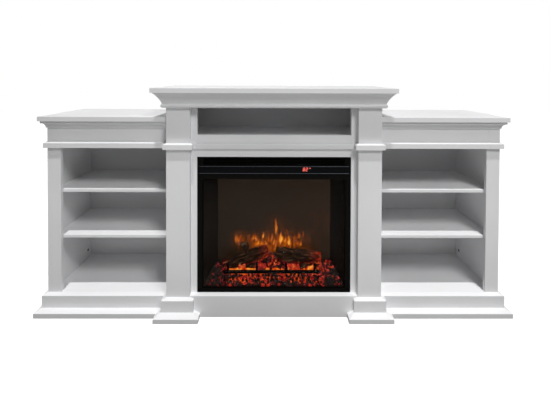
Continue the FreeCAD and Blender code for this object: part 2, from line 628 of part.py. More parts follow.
# Casing: folded sheet, open at the front, with fixing flanges, vents and the spindle's bearing bracket
case = box(-CASE_X, CASE_X, BEZEL_BACK_Y, CASE_BACK_Y, HEARTH_H, CASE_TOP_Z)
case = case.cut(box(-CASE_IN_X, CASE_IN_X, BEZEL_BACK_Y, CASE_BACK_Y - SHEET, FLOOR_Z, CASE_TOP_Z - SHEET))
flange = box(CASE_X, CASE_X + FLANGE_W, FASCIA_BACK_Y, FASCIA_BACK_Y + SHEET, HEARTH_H, CASE_TOP_Z)
bracket = box(-SPINDLE_HALF - SHEET, -SPINDLE_HALF, SPINDLE_Y - BRACKET_HALF, SPINDLE_Y + BRACKET_HALF,
              FLOOR_Z, SPINDLE_Z + BRACKET_HALF)
bracket = bracket.cut(rod_x(-SPINDLE_HALF - SHEET, -SPINDLE_HALF, SPINDLE_Y, SPINDLE_Z, SPINDLE_R + BEARING_FIT))
case = case.fuse([flange, mirrored(flange), bracket]).removeSplitter()
cutters = [box(INLET_X - body_x - INLET_FIT, INLET_X + body_x + INLET_FIT, CASE_BACK_Y - SHEET, CASE_BACK_Y,
               INLET_Z - body_h - INLET_FIT, INLET_Z + body_h + INLET_FIT)]
for number in range(VENT_COUNT):
    vent_x = (number - (VENT_COUNT - 1) / 2) * VENT_PITCH
    vent_z = CASE_TOP_Z - VENT_DROP
    cutters.append(box(vent_x - VENT_W / 2, vent_x + VENT_W / 2, CASE_BACK_Y - SHEET, CASE_BACK_Y,
                       vent_z - VENT_H / 2, vent_z + VENT_H / 2))
keep("firebox_casing", case.cut(cutters))

# Chamber: splayed walls under a ceiling, and the flame screen behind
screen_x = SCREEN_W / 2
front_x = CASE_IN_X - SHEET
wall_plan = [(front_x, CHAMBER_Y), (screen_x, SCREEN_Y), (screen_x + SHEET, SCREEN_Y), (CASE_IN_X, CHAMBER_Y)]
wall = outline(wall_plan, lambda x, y: Vector(x, y, FLOOR_Z)).extrude(Vector(0, 0, CEILING_Z - FLOOR_Z))
ceiling = box(-CASE_IN_X, CASE_IN_X, CHAMBER_Y, CASE_BACK_Y - SHEET, CEILING_Z, LOFT_Z)
keep("chamber_liner", ceiling.fuse([wall, mirrored(wall)]))
lap_x = screen_x + SCREEN_LAP
keep("flame_screen", box(-lap_x, lap_x, SCREEN_Y, SCREEN_Y + SCREEN_T, FLOOR_Z, CEILING_Z))


def bed_block(margin):
    """Ember bed's block between the splayed walls, smaller all round by the margin."""
    front_y = CHAMBER_Y + margin
    back_y = SCREEN_Y - margin
    slope = [
        (front_y, FLOOR_Z),
        (front_y, FLOOR_Z + BED_FRONT_H - margin),
        (CHAMBER_Y + BED_KNEE_Y, FLOOR_Z + BED_KNEE_H - margin),
        (back_y, FLOOR_Z + BED_BACK_H - margin),
        (back_y, FLOOR_Z),
    ]
    block = outline(slope, lambda y, z: Vector(-front_x, y, z)).extrude(X_AXIS * 2 * front_x)
    plan = [(front_x - margin, CHAMBER_Y), (screen_x - margin, SCREEN_Y),
            (margin - screen_x, SCREEN_Y), (margin - front_x, CHAMBER_Y)]
    return block.common(outline(plan, lambda x, y: Vector(x, y, FLOOR_Z)).extrude(Vector(0, 0, HEAP_H)))


def in_chamber(x, y, z):
    """Point measured from the chamber's middle, its glass and its floor."""
    return Vector(x, CHAMBER_Y + y, FLOOR_Z + z)


def log(base, top, radii, extra):
    """Hewn log on the line between two points, its radius given at even steps."""
    along = top - base
    rings = []
    for number, radius in enumerate(radii):
        height = along.Length * number / (len(radii) - 1)
        corners = [Vector((radius + extra) * math.cos(2 * math.pi * side / LOG_SIDES),
                          (radius + extra) * math.sin(2 * math.pi * side / LOG_SIDES), height)
                   for side in range(LOG_SIDES)]
        rings.append(Part.makePolygon(corners + corners[:1]))
    hewn = Part.makeLoft(rings, True, True)
    hewn.Placement = FreeCAD.Placement(base, FreeCAD.Rotation(Vector(0, 0, 1), along))
    return hewn


# Logs, ember bed with pockets for them, and grate
left_foot = in_chamber(LEFT_LOG_FOOT_X, LEFT_LOG_FOOT_Y, LEFT_LOG_FOOT_Z)
left_top = in_chamber(LEFT_LOG_TOP_X, LEFT_LOG_TOP_Y, LEFT_LOG_TOP_Z)
right_foot = in_chamber(RIGHT_LOG_FOOT_X, RIGHT_LOG_FOOT_Y, RIGHT_LOG_FOOT_Z)
right_top = in_chamber(RIGHT_LOG_TOP_X, RIGHT_LOG_TOP_Y, RIGHT_LOG_TOP_Z)
left_axis = left_top - left_foot
knot = Part.makeCylinder(KNOT_R, KNOT_REACH, left_foot + left_axis * KNOT_PLACE, Y_AXIS.cross(left_axis).negative())
keep("log_left", log(left_foot, left_top, LEFT_LOG_RADII, 0).fuse(knot))
keep("log_right", log(right_top, right_foot, RIGHT_LOG_RADII, 0))
heap_back_y = SCREEN_Y - BED_FIT - HEAP_BACK
heap_middle_y = heap_back_y - HEAP_FOOT_D / 2
heap_sections = []
for width, depth, height in ((HEAP_FOOT_W, HEAP_FOOT_D, BED_KNEE_H), (HEAP_TOP_W, HEAP_TOP_D, HEAP_H)):
    corners = [Vector(HEAP_X + sx * width / 2, heap_middle_y + sy * depth / 2, FLOOR_Z + height)
               for sx, sy in ((-1, -1), (1, -1), (1, 1), (-1, 1), (-1, -1))]
    heap_sections.append(Part.makePolygon(corners))
heap = Part.makeLoft(heap_sections, True, True)
bed_top = bed_block(BED_FIT)
bed = bed_top.fuse(heap).cut(bed_block(BED_FIT + BED_WALL))
pockets = [log(left_foot, left_top, LEFT_LOG_RADII, LOG_FIT), log(right_top, right_foot, RIGHT_LOG_RADII, LOG_FIT)]
keep("ember_bed", bed.cut(pockets))
bar_y = CHAMBER_Y + GRATE_Y
bar_z = FLOOR_Z + GRATE_H
bar = box(GRATE_X - GRATE_HALF, GRATE_X + GRATE_HALF, bar_y - GRATE_BAR / 2, bar_y + GRATE_BAR / 2,
          bar_z - GRATE_BAR / 2, bar_z + GRATE_BAR / 2)
inner_count = POST_COUNT - 2
outer_reach = GRATE_HALF - POST_INSET
inner_places = [(number - (inner_count - 1) / 2) * POST_PITCH for number in range(inner_count)]
posts = []
for place in [-outer_reach] + inner_places + [outer_reach]:
    post_x = GRATE_X + place
    posts.append(box(post_x - POST_W / 2, post_x + POST_W / 2, bar_y - GRATE_BAR / 2, bar_y + GRATE_BAR / 2,
                     bar_z, bar_z + POST_TOP))
for leg_x in (GRATE_X - GRATE_HALF, GRATE_X + GRATE_HALF - POST_W):
    posts.append(box(leg_x, leg_x + POST_W, bar_y - GRATE_BAR / 2, bar_y + GRATE_BAR / 2, FLOOR_Z, bar_z))
keep("grate", bar.fuse(posts).cut(bed_top).removeSplitter())

# Light bar under the embers
bar_front_y = CHAMBER_Y + BED_KNEE_Y
board = box(-LIGHT_HALF, LIGHT_HALF, bar_front_y, bar_front_y + LIGHT_W, FLOOR_Z, FLOOR_Z + LIGHT_T)
lamps = []
for number in range(LED_COUNT):
    lamp_x = LIGHT_HALF * ((2 * number + 1) / LED_COUNT - 1)
    lamp_y = bar_front_y + LIGHT_W / 2
    lamps.append(box(lamp_x - LED_SIZE / 2, lamp_x + LED_SIZE / 2, lamp_y - LED_SIZE / 2, lamp_y + LED_SIZE / 2,
                     FLOOR_Z + LIGHT_T, FLOOR_Z + LIGHT_T + LED_H))
keep("light_bar", board.fuse(lamps))

# Flame spindle with turned reflector blades, and its motor on the casing's floor
spindle = rod_x(-SPINDLE_HALF - BRACKET_HALF / 2, SPINDLE_HALF + SPINDLE_IN, SPINDLE_Y, SPINDLE_Z, SPINDLE_R)
blade_pitch = 2 * SPINDLE_HALF / BLADE_COUNT
blades = []
for number in range(BLADE_COUNT):
    blade_x = -SPINDLE_HALF + (number + 1 / 2) * blade_pitch
    blade = box(blade_x - BLADE_L / 2, blade_x + BLADE_L / 2, SPINDLE_Y - BLADE_T / 2, SPINDLE_Y + BLADE_T / 2,
                SPINDLE_Z - BLADE_R, SPINDLE_Z + BLADE_R)
    blade.rotate(Vector(blade_x, SPINDLE_Y, SPINDLE_Z), X_AXIS, number * BLADE_TURN)
    blades.append(blade)
keep("flame_spindle", spindle.fuse(blades))
gearbox_end = SPINDLE_HALF + MOTOR_L
motor = box(SPINDLE_HALF, gearbox_end, SPINDLE_Y - MOTOR_HALF, SPINDLE_Y + MOTOR_HALF,
            FLOOR_Z, SPINDLE_Z + MOTOR_HALF)
motor = motor.fuse(rod_x(gearbox_end, gearbox_end + MOTOR_CAN_L, SPINDLE_Y, SPINDLE_Z, MOTOR_CAN_R))
socket_end = SPINDLE_HALF + SPINDLE_IN + PAST
motor = motor.cut(rod_x(SPINDLE_HALF, socket_end, SPINDLE_Y, SPINDLE_Z, SPINDLE_R + BEARING_FIT))
keep("spindle_motor", motor)


def duct_face(radius, mouth_low, mouth_high):
    """Side view of the blower's scroll, with straight walls tangent to it out to the mouth."""
    touches = []
    for mouth_z, turn in ((mouth_low, 1), (mouth_high, -1)):
        away = math.atan2(mouth_z - WHEEL_Z, MOUTH_Y - WHEEL_Y)
        spread = math.acos(radius / math.hypot(mouth_z - WHEEL_Z, MOUTH_Y - WHEEL_Y))
        angle = away + turn * spread
        touches.append((WHEEL_Y + radius * math.cos(angle), WHEEL_Z + radius * math.sin(angle)))
    items = [(MOUTH_Y, mouth_low), touches[0], ((WHEEL_Y + radius, WHEEL_Z), touches[1]), (MOUTH_Y, mouth_high)]
    return outline(items, lambda y, z: Vector(-PLATE_X, y, z))


# Blower: tangential wheel in a scroll with a duct to the outlet, and its motor
scroll = duct_face(SCROLL_R + SHEET, OUTLET_Z - SHEET, MOUTH_TOP_Z + SHEET)
scroll = scroll.cut(duct_face(SCROLL_R, OUTLET_Z, MOUTH_TOP_Z)).extrude(X_AXIS * 2 * PLATE_X)
intake_pitch = 2 * PLATE_X / INTAKE_COUNT
for number in range(INTAKE_COUNT):
    intake_x = -PLATE_X + (number + 1 / 2) * intake_pitch
    intake_half = (intake_pitch - INTAKE_RIB) / 2
    scroll = scroll.cut(box(intake_x - intake_half, intake_x + intake_half, WHEEL_Y + WHEEL_R, CASE_BACK_Y,
                            WHEEL_Z - INTAKE_HALF, WHEEL_Z + INTAKE_HALF))
plate = box(PLATE_X, PLATE_X + SHEET, MOUTH_Y, WHEEL_Y + SCROLL_R + SHEET, LOFT_Z, MOUTH_TOP_Z + SHEET)
fan_motor = rod_x(PLATE_X + SHEET, PLATE_X + SHEET + FAN_MOTOR_L, WHEEL_Y, WHEEL_Z, FAN_MOTOR_R)
bearing = rod_x(-PLATE_X - SHEET, PLATE_X + SHEET + SHAFT_IN + PAST, WHEEL_Y, WHEEL_Z, SHAFT_R + BEARING_FIT)
keep("blower_housing", scroll.fuse([plate, mirrored(plate), fan_motor]).cut(bearing))
wheel_pieces = []
for disc_x in (-WHEEL_HALF, WHEEL_HALF - DISC_T):
    wheel_pieces.append(rod_x(disc_x, disc_x + DISC_T, WHEEL_Y, WHEEL_Z, WHEEL_R))
for number in range(VANE_COUNT):
    rim = WHEEL_R - VANE_W
    vane = box(-WHEEL_HALF, WHEEL_HALF, WHEEL_Y - VANE_T / 2, WHEEL_Y + VANE_T / 2,
               WHEEL_Z + rim, WHEEL_Z + rim + VANE_W)
    vane.rotate(Vector(0, WHEEL_Y, WHEEL_Z + rim + VANE_W / 2), X_AXIS, VANE_LEAN)
    vane.rotate(Vector(0, WHEEL_Y, WHEEL_Z), X_AXIS, number * 360 / VANE_COUNT)
    wheel_pieces.append(vane)
shaft = rod_x(-PLATE_X - SHEET - PAST, PLATE_X + SHEET + SHAFT_IN, WHEEL_Y, WHEEL_Z, SHAFT_R)
keep("blower_wheel", shaft.fuse(wheel_pieces))

# Finned heater element across the duct
heater_y = MOUTH_Y + HEATER_BACK
heater_z = (OUTLET_Z + MOUTH_TOP_Z) / 2 - HEATER_DROP
fins = []
for number in range(FIN_COUNT):
    fin_x = (number - (FIN_COUNT - 1) / 2) * FIN_PITCH
    fins.append(box(fin_x - FIN_T / 2, fin_x + FIN_T / 2, heater_y - FIN_D / 2, heater_y + FIN_D / 2,
                    heater_z - FIN_H / 2, heater_z + FIN_H / 2))
core = box(-PLATE_X, PLATE_X, heater_y - CORE_D / 2, heater_y + CORE_D / 2,
           heater_z - CORE_H / 2, heater_z + CORE_H / 2)
keep("heater_element", core.fuse(fins))

os.makedirs("parts", exist_ok=True)
for name, shape in parts.items():
    shape.exportStep("parts/" + name + ".step")
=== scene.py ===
"""Looks of a white fireplace TV stand: painted boards, a fire insert, glowing embers, logs and flames."""

import json
import logging
import math
import random
from dataclasses import dataclass, field
from enum import Enum

import bmesh
import bpy
from mathutils import Euler, Matrix, Vector, noise


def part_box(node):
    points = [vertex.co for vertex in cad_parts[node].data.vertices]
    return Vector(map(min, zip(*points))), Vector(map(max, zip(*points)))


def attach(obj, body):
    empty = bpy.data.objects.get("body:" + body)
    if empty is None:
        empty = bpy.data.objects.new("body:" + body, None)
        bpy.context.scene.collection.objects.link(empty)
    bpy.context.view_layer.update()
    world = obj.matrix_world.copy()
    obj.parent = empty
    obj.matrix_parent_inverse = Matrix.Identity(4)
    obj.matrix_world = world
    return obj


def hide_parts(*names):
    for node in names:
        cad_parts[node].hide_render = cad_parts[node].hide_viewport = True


LOG = logging.getLogger("fireplace_stand")
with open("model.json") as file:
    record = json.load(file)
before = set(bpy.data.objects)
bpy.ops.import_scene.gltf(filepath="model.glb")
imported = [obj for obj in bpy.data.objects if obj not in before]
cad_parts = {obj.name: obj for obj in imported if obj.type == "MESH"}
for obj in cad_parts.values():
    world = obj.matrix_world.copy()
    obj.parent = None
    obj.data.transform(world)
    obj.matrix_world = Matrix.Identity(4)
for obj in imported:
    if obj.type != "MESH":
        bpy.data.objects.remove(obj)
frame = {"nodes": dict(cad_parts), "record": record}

MM = 0.001
STAND = "stand"
Color = tuple[float, float, float, float]
Pair = tuple[float, float]
Place = tuple[float, float, float]
Stops = tuple[tuple[float, str], ...]
Faces = list[tuple[int, ...]]
MaterialParts = tuple[bpy.types.Material, bpy.types.NodeTree, bpy.types.Node, bpy.types.NodeSocket]


def linear(hex_code: str) -> Color:
    """Turn an sRGB hex colour into linear RGBA.

    Args:
        hex_code: Six hex digits.

    Returns:
        Linear red, green, blue and an alpha of one.
    """
    parts = [int(hex_code[i:i + 2], 16) / 255 for i in (0, 2, 4)]
    red, green, blue = [c / 12.92 if c <= 0.04045 else ((c + 0.055) / 1.055) ** 2.4 for c in parts]
    return (red, green, blue, 1.0)


def connect(tree: bpy.types.NodeTree, node: bpy.types.Node, links: dict | None = None,
            values: dict | None = None) -> None:
    """Set a node's fixed values and join its incoming links.

    Args:
        tree: Node tree that holds the node.
        node: The node.
        links: Input name or number to the output socket that feeds it.
        values: Input name or number to its fixed value.
    """
    for name, value in (values or {}).items():
        node.inputs[name].default_value = value
    for name, source in (links or {}).items():
        tree.links.new(source, node.inputs[name])


def add_node(tree: bpy.types.NodeTree, kind: str, links: dict | None = None, values: dict | None = None,
             stops: Stops = (), **settings: object) -> bpy.types.Node:
    """Add one node with its settings, fixed values and incoming links.

    Args:
        tree: Node tree that gets the node.
        kind: Blender's type name of the node.
        links: Input name or number to the output socket that feeds it.
        values: Input name or number to its fixed value.
        stops: Positions and hex colours, for a node with a colour ramp.
        settings: Properties of the node itself.

    Returns:
        The new node.
    """
    node = tree.nodes.new(kind)
    for name, value in settings.items():
        setattr(node, name, value)
    connect(tree, node, links, values)
    if stops:
        elements = node.color_ramp.elements
        while len(elements) < len(stops):
            elements.new(1.0)
        for element, (position, color) in zip(elements, stops):
            element.position = position
            element.color = linear(color)
    return node


def new_material(name: str) -> MaterialParts:
    """Start a node material.

    Args:
        name: Material name.

    Returns:
        The material, its tree, its Principled shader and the socket that gives places on the piece.
    """
    material = bpy.data.materials.new(name)
    material.use_nodes = True
    tree = material.node_tree
    place = add_node(tree, "ShaderNodeTexCoord").outputs["Object"]
    return material, tree, tree.nodes["Principled BSDF"], place


def per_mm(size_mm: float) -> float:
    """Give the texture scale whose features are about this many millimetres wide."""
    return 1 / (size_mm * MM)


@dataclass(frozen=True)
class Lacquer:
    """Satin lacquer sprayed on MDF: an even white, with faint orange peel and slow clouds in its gloss."""

    name: str = "satin_white_lacquer_on_mdf"
    color: str = "f1f1f2"
    shade: str = "ececed"
    roughness: float = 0.45
    roughness_swing: float = 0.06
    specular: float = 0.2
    cloud_mm: float = 240.0
    peel_mm: float = 6.0  # real peel is about 2 mm, drawn coarser so that it shows
    peel_depth_mm: float = 0.3
    peel_strength: float = 0.06

    def make(self) -> bpy.types.Material:
        """Build the material.

        Returns:
            The new material.
        """
        material, tree, shader, place = new_material(self.name)
        cloud = add_node(tree, "ShaderNodeTexNoise", {"Vector": place},
                         {"Scale": per_mm(self.cloud_mm), "Detail": 4.0})
        tone = add_node(tree, "ShaderNodeValToRGB", {"Fac": cloud.outputs["Fac"]},
                        stops=((0.35, self.shade), (0.65, self.color)))
        gloss = add_node(tree, "ShaderNodeMapRange", {"Value": cloud.outputs["Fac"]},
                         {"To Min": self.roughness - self.roughness_swing,
                          "To Max": self.roughness + self.roughness_swing})
        peel = add_node(tree, "ShaderNodeTexNoise", {"Vector": place},
                        {"Scale": per_mm(self.peel_mm), "Detail": 2.0})
        bump = add_node(tree, "ShaderNodeBump", {"Height": peel.outputs["Fac"]},
                        {"Strength": self.peel_strength, "Distance": self.peel_depth_mm * MM})
        connect(tree, shader, {"Base Color": tone.outputs["Color"], "Roughness": gloss.outputs["Result"],
                               "Normal": bump.outputs["Normal"]}, {"Specular IOR Level": self.specular})
        return material


@dataclass(frozen=True)
class GrainedCoat:
    """Powder coat, moulded plastic or bare metal: one colour, with fine grain in tone, gloss and relief."""

    name: str
    color: str
    shade: str
    roughness: float
    grain_mm: float  # a fine tooth is drawn coarser than it is, so that it shows
    relief_mm: float = 0.1
    metallic: float = 0.0
    specular: float = 0.5
    gloss_swing: float = 0.2  # share of the roughness
    relief_strength: float = 0.2

    def make(self) -> bpy.types.Material:
        """Build the material.

        Returns:
            The new material.
        """
        material, tree, shader, place = new_material(self.name)
        grain = add_node(tree, "ShaderNodeTexNoise", {"Vector": place},
                         {"Scale": per_mm(self.grain_mm), "Detail": 3.0})
        tone = add_node(tree, "ShaderNodeValToRGB", {"Fac": grain.outputs["Fac"]},
                        stops=((0.3, self.shade), (0.7, self.color)))
        gloss = add_node(tree, "ShaderNodeMapRange", {"Value": grain.outputs["Fac"]},
                         {"To Min": self.roughness * (1 - self.gloss_swing),
                          "To Max": self.roughness * (1 + self.gloss_swing)})
        bump = add_node(tree, "ShaderNodeBump", {"Height": grain.outputs["Fac"]},
                        {"Strength": self.relief_strength, "Distance": self.relief_mm * MM})
        connect(tree, shader, {"Base Color": tone.outputs["Color"], "Roughness": gloss.outputs["Result"],
                               "Normal": bump.outputs["Normal"]},
                {"Metallic": self.metallic, "Specular IOR Level": self.specular})
        return material


@dataclass(frozen=True)
class FloatGlass:
    """Clear tempered float glass: nearly all seen through, with a thin even shine and faint smears."""

    name: str = "clear_float_glass"
    color: str = "0b0d0d"
    alpha: float = 0.1
    roughness: float = 0.03
    ior: float = 1.52
    specular: float = 0.12
    smear_mm: float = 60.0

    def make(self) -> bpy.types.Material:
        """Build the material.

        Returns:
            The new material.
        """
        material, tree, shader, place = new_material(self.name)
        smear = add_node(tree, "ShaderNodeTexNoise", {"Vector": place},
                         {"Scale": per_mm(self.smear_mm), "Detail": 5.0})
        gloss = add_node(tree, "ShaderNodeMapRange", {"Value": smear.outputs["Fac"]},
                         {"To Min": self.roughness, "To Max": self.roughness * 2})
        connect(tree, shader, {"Roughness": gloss.outputs["Result"]},
                {"Base Color": linear(self.color), "Alpha": self.alpha, "IOR": self.ior,
                 "Specular IOR Level": self.specular})
        return material


@dataclass(frozen=True)
class FlameFilm:
    """Smoked diffuser sheet: dull brown, faintly cloudy, lit from behind where its glow attribute rises."""

    name: str = "smoked_acrylic_diffuser"
    color: str = "0c0805"
    shade: str = "070503"
    roughness: float = 0.4
    specular: float = 0.08
    cloud_mm: float = 160.0
    flame: Stops = ((0.0, "130b04"), (0.1, "231507"), (0.24, "4e2406"), (0.42, "8a3a08"), (0.62, "c8620c"),
                    (0.8, "f08a16"), (1.0, "ffb83e"))

    def make(self) -> bpy.types.Material:
        """Build the material.

        Returns:
            The new material.
        """
        material, tree, shader, place = new_material(self.name)
        cloud = add_node(tree, "ShaderNodeTexNoise", {"Vector": place},
                         {"Scale": per_mm(self.cloud_mm), "Detail": 3.0})
        tone = add_node(tree, "ShaderNodeValToRGB", {"Fac": cloud.outputs["Fac"]},
                        stops=((0.35, self.shade), (0.65, self.color)))
        glow = add_node(tree, "ShaderNodeAttribute", attribute_name="glow")
        light = add_node(tree, "ShaderNodeValToRGB", {"Fac": glow.outputs["Fac"]}, stops=self.flame)
        connect(tree, shader, {"Base Color": tone.outputs["Color"], "Emission Color": light.outputs["Color"]},
                {"Roughness": self.roughness, "Specular IOR Level": self.specular, "Emission Strength": 1.0})
        return material


@dataclass(frozen=True)
class GlowingCoal:
    """Lit resin cast as charcoal: grey ash on a black crust, red to orange in cracks and thin spots."""

    name: str = "cast_resin_loose_coal"
    ash: str = "4a4138"
    crust: str = "0d0806"
    roughness: float = 0.75
    specular: float = 0.12
    lump_mm: float = 5.0
    ash_mm: float = 4.0
    ash_depth_mm: float = 1.0
    ash_strength: float = 0.6
    thin_range: Pair = (0.45, 0.67)  # part of the lumps' noise over which a spot goes from dark to lit
    crack_count: float = 9.0  # cracks across the range of the lumps' noise
    crack_share: float = 0.16
    crack_glow: float = 0.85
    ember: Stops = ((0.1, "000000"), (0.26, "3c0508"), (0.44, "ba141a"), (0.62, "f23c20"), (0.8, "ff6a24"),
                    (1.0, "ff9c4c"))

    def make(self) -> bpy.types.Material:
        """Build the material.

        Returns:
            The new material.
        """
        material, tree, shader, place = new_material(self.name)
        dust = add_node(tree, "ShaderNodeTexNoise", {"Vector": place},
                        {"Scale": per_mm(self.ash_mm), "Detail": 4.0})
        tone = add_node(tree, "ShaderNodeValToRGB", {"Fac": dust.outputs["Fac"]},
                        stops=((0.45, self.crust), (0.72, self.ash)))
        bump = add_node(tree, "ShaderNodeBump", {"Height": dust.outputs["Fac"]},
                        {"Strength": self.ash_strength, "Distance": self.ash_depth_mm * MM})
        thin = add_node(tree, "ShaderNodeTexNoise", {"Vector": place},
                        {"Scale": per_mm(self.lump_mm), "Detail": 5.0, "Roughness": 0.62, "Distortion": 0.6})
        spread = add_node(tree, "ShaderNodeMapRange", {"Value": thin.outputs["Fac"]},
                          {"From Min": self.thin_range[0], "From Max": self.thin_range[1]})
        cracks = add_node(tree, "ShaderNodeTexVoronoi", {"Vector": thin.outputs["Color"]},
                          {"Scale": self.crack_count}, feature="DISTANCE_TO_EDGE")
        seam = add_node(tree, "ShaderNodeMapRange", {"Value": cracks.outputs["Distance"]},
                        {"From Min": self.crack_share, "From Max": 0.0, "To Max": self.crack_glow})
        either = add_node(tree, "ShaderNodeMath", {0: spread.outputs["Result"], 1: seam.outputs["Result"]},
                          operation="MAXIMUM")
        glow = add_node(tree, "ShaderNodeAttribute", attribute_name="glow")
        lit = add_node(tree, "ShaderNodeMath", {0: either.outputs["Value"], 1: glow.outputs["Fac"]},
                       operation="MULTIPLY")
        light = add_node(tree, "ShaderNodeValToRGB", {"Fac": lit.outputs["Value"]}, stops=self.ember)
        connect(tree, shader, {"Base Color": tone.outputs["Color"], "Normal": bump.outputs["Normal"],
                               "Emission Color": light.outputs["Color"]},
                {"Roughness": self.roughness, "Specular IOR Level": self.specular, "Emission Strength": 1.0})
        return material


@dataclass(frozen=True)
class LitBed:
    """Thin cast resin over the lamps: dark crust, red in front, with an orange band at the grate's height."""

    name: str = "cast_resin_lit_bed"
    crust: str = "120b07"
    ash: str = "2a221c"
    roughness: float = 0.8
    specular: float = 0.1
    lump_mm: float = 14.0
    lump_depth_mm: float = 3.0
    lump_strength: float = 0.8
    band_mm: tuple[float, float, float, float] = (121.0, 127.0, 141.0, 150.0)  # heights: dim, lit, lit, dark
    end_mm: Pair = (176.0, 205.0)  # from the middle along X: lit, dark
    skirt_mm: Pair = (97.0, 103.0)  # heights at the front edge: dark, dim
    front_share: float = 0.6  # glow below the band, in front of the grate
    uneven_range: Pair = (0.3, 0.6)  # part of the lumps' noise over which the glow grows
    uneven_least: float = 0.3
    ember: Stops = ((0.0, "000000"), (0.3, "7a1607"), (0.6, "e8500f"), (0.85, "ff8a22"), (1.0, "ffab45"))

    def make(self) -> bpy.types.Material:
        """Build the material.

        Returns:
            The new material.
        """
        material, tree, shader, place = new_material(self.name)
        lumps = add_node(tree, "ShaderNodeTexNoise", {"Vector": place},
                         {"Scale": per_mm(self.lump_mm), "Detail": 3.0})
        tone = add_node(tree, "ShaderNodeValToRGB", {"Fac": lumps.outputs["Fac"]},
                        stops=((0.4, self.crust), (0.7, self.ash)))
        bump = add_node(tree, "ShaderNodeBump", {"Height": lumps.outputs["Fac"]},
                        {"Strength": self.lump_strength, "Distance": self.lump_depth_mm * MM})
        axes = add_node(tree, "ShaderNodeSeparateXYZ", {"Vector": place})
        dim_low, lit_low, lit_high, dark_high = (edge * MM for edge in self.band_mm)
        rise = add_node(tree, "ShaderNodeMapRange", {"Value": axes.outputs["Z"]},
                        {"From Min": dim_low, "From Max": lit_low, "To Min": self.front_share})
        fall = add_node(tree, "ShaderNodeMapRange", {"Value": axes.outputs["Z"]},
                        {"From Min": dark_high, "From Max": lit_high})
        band = add_node(tree, "ShaderNodeMath", {0: rise.outputs["Result"], 1: fall.outputs["Result"]},
                        operation="MULTIPLY")
        skirt = add_node(tree, "ShaderNodeMapRange",
                         {"Value": axes.outputs["Z"], "To Max": band.outputs["Value"]},
                         {"From Min": self.skirt_mm[0] * MM, "From Max": self.skirt_mm[1] * MM})
        away = add_node(tree, "ShaderNodeMath", {0: axes.outputs["X"]}, operation="ABSOLUTE")
        ends = add_node(tree, "ShaderNodeMapRange", {"Value": away.outputs["Value"]},
                        {"From Min": self.end_mm[1] * MM, "From Max": self.end_mm[0] * MM})
        bounded = add_node(tree, "ShaderNodeMath", {0: skirt.outputs["Result"], 1: ends.outputs["Result"]},
                           operation="MULTIPLY")
        uneven = add_node(tree, "ShaderNodeMapRange", {"Value": lumps.outputs["Fac"]},
                          {"From Min": self.uneven_range[0], "From Max": self.uneven_range[1],
                           "To Min": self.uneven_least})
        lit = add_node(tree, "ShaderNodeMath", {0: bounded.outputs["Value"], 1: uneven.outputs["Result"]},
                       operation="MULTIPLY")
        light = add_node(tree, "ShaderNodeValToRGB", {"Fac": lit.outputs["Value"]}, stops=self.ember)
        connect(tree, shader, {"Base Color": tone.outputs["Color"], "Normal": bump.outputs["Normal"],
                               "Emission Color": light.outputs["Color"]},
                {"Roughness": self.roughness, "Specular IOR Level": self.specular, "Emission Strength": 1.0})
        return material


@dataclass(frozen=True)
class CharredBark:
    """Cast resin log: dark bark, black furrows, pale ash on ridges, red where its glow attribute rises."""

    name: str = "cast_resin_charred_bark"
    roughness: float = 0.7
    specular: float = 0.05
    fleck_mm: float = 5.0
    fleck_depth_mm: float = 0.8
    fleck_strength: float = 0.5
    lit_range: Pair = (0.32, 0.6)  # part of the flecks' noise over which a spot goes from dark to lit
    bark: Stops = ((0.1, "0a0502"), (0.25, "2b180a"), (0.38, "472b15"), (0.55, "8f7a5c"))
    ember: Stops = ((0.1, "000000"), (0.35, "5c0d05"), (0.6, "d8300f"), (0.9, "ff7a30"))

    def make(self) -> bpy.types.Material:
        """Build the material.

        Returns:
            The new material.
        """
        material, tree, shader, place = new_material(self.name)
        ridge = add_node(tree, "ShaderNodeAttribute", attribute_name="ridge")
        fleck = add_node(tree, "ShaderNodeTexNoise", {"Vector": place},
                         {"Scale": per_mm(self.fleck_mm), "Detail": 4.0})
        mixed = add_node(tree, "ShaderNodeMath", {0: ridge.outputs["Fac"], 1: fleck.outputs["Fac"]},
                         operation="MULTIPLY")
        tone = add_node(tree, "ShaderNodeValToRGB", {"Fac": mixed.outputs["Value"]}, stops=self.bark)
        bump = add_node(tree, "ShaderNodeBump", {"Height": fleck.outputs["Fac"]},
                        {"Strength": self.fleck_strength, "Distance": self.fleck_depth_mm * MM})
        spread = add_node(tree, "ShaderNodeMapRange", {"Value": fleck.outputs["Fac"]},
                          {"From Min": self.lit_range[0], "From Max": self.lit_range[1]})
        glow = add_node(tree, "ShaderNodeAttribute", attribute_name="glow")
        lit = add_node(tree, "ShaderNodeMath", {0: spread.outputs["Result"], 1: glow.outputs["Fac"]},
                       operation="MULTIPLY")
        light = add_node(tree, "ShaderNodeValToRGB", {"Fac": lit.outputs["Value"]}, stops=self.ember)
        connect(tree, shader, {"Base Color": tone.outputs["Color"], "Normal": bump.outputs["Normal"],
                               "Emission Color": light.outputs["Color"]},
                {"Roughness": self.roughness, "Specular IOR Level": self.specular, "Emission Strength": 1.0})
        return material


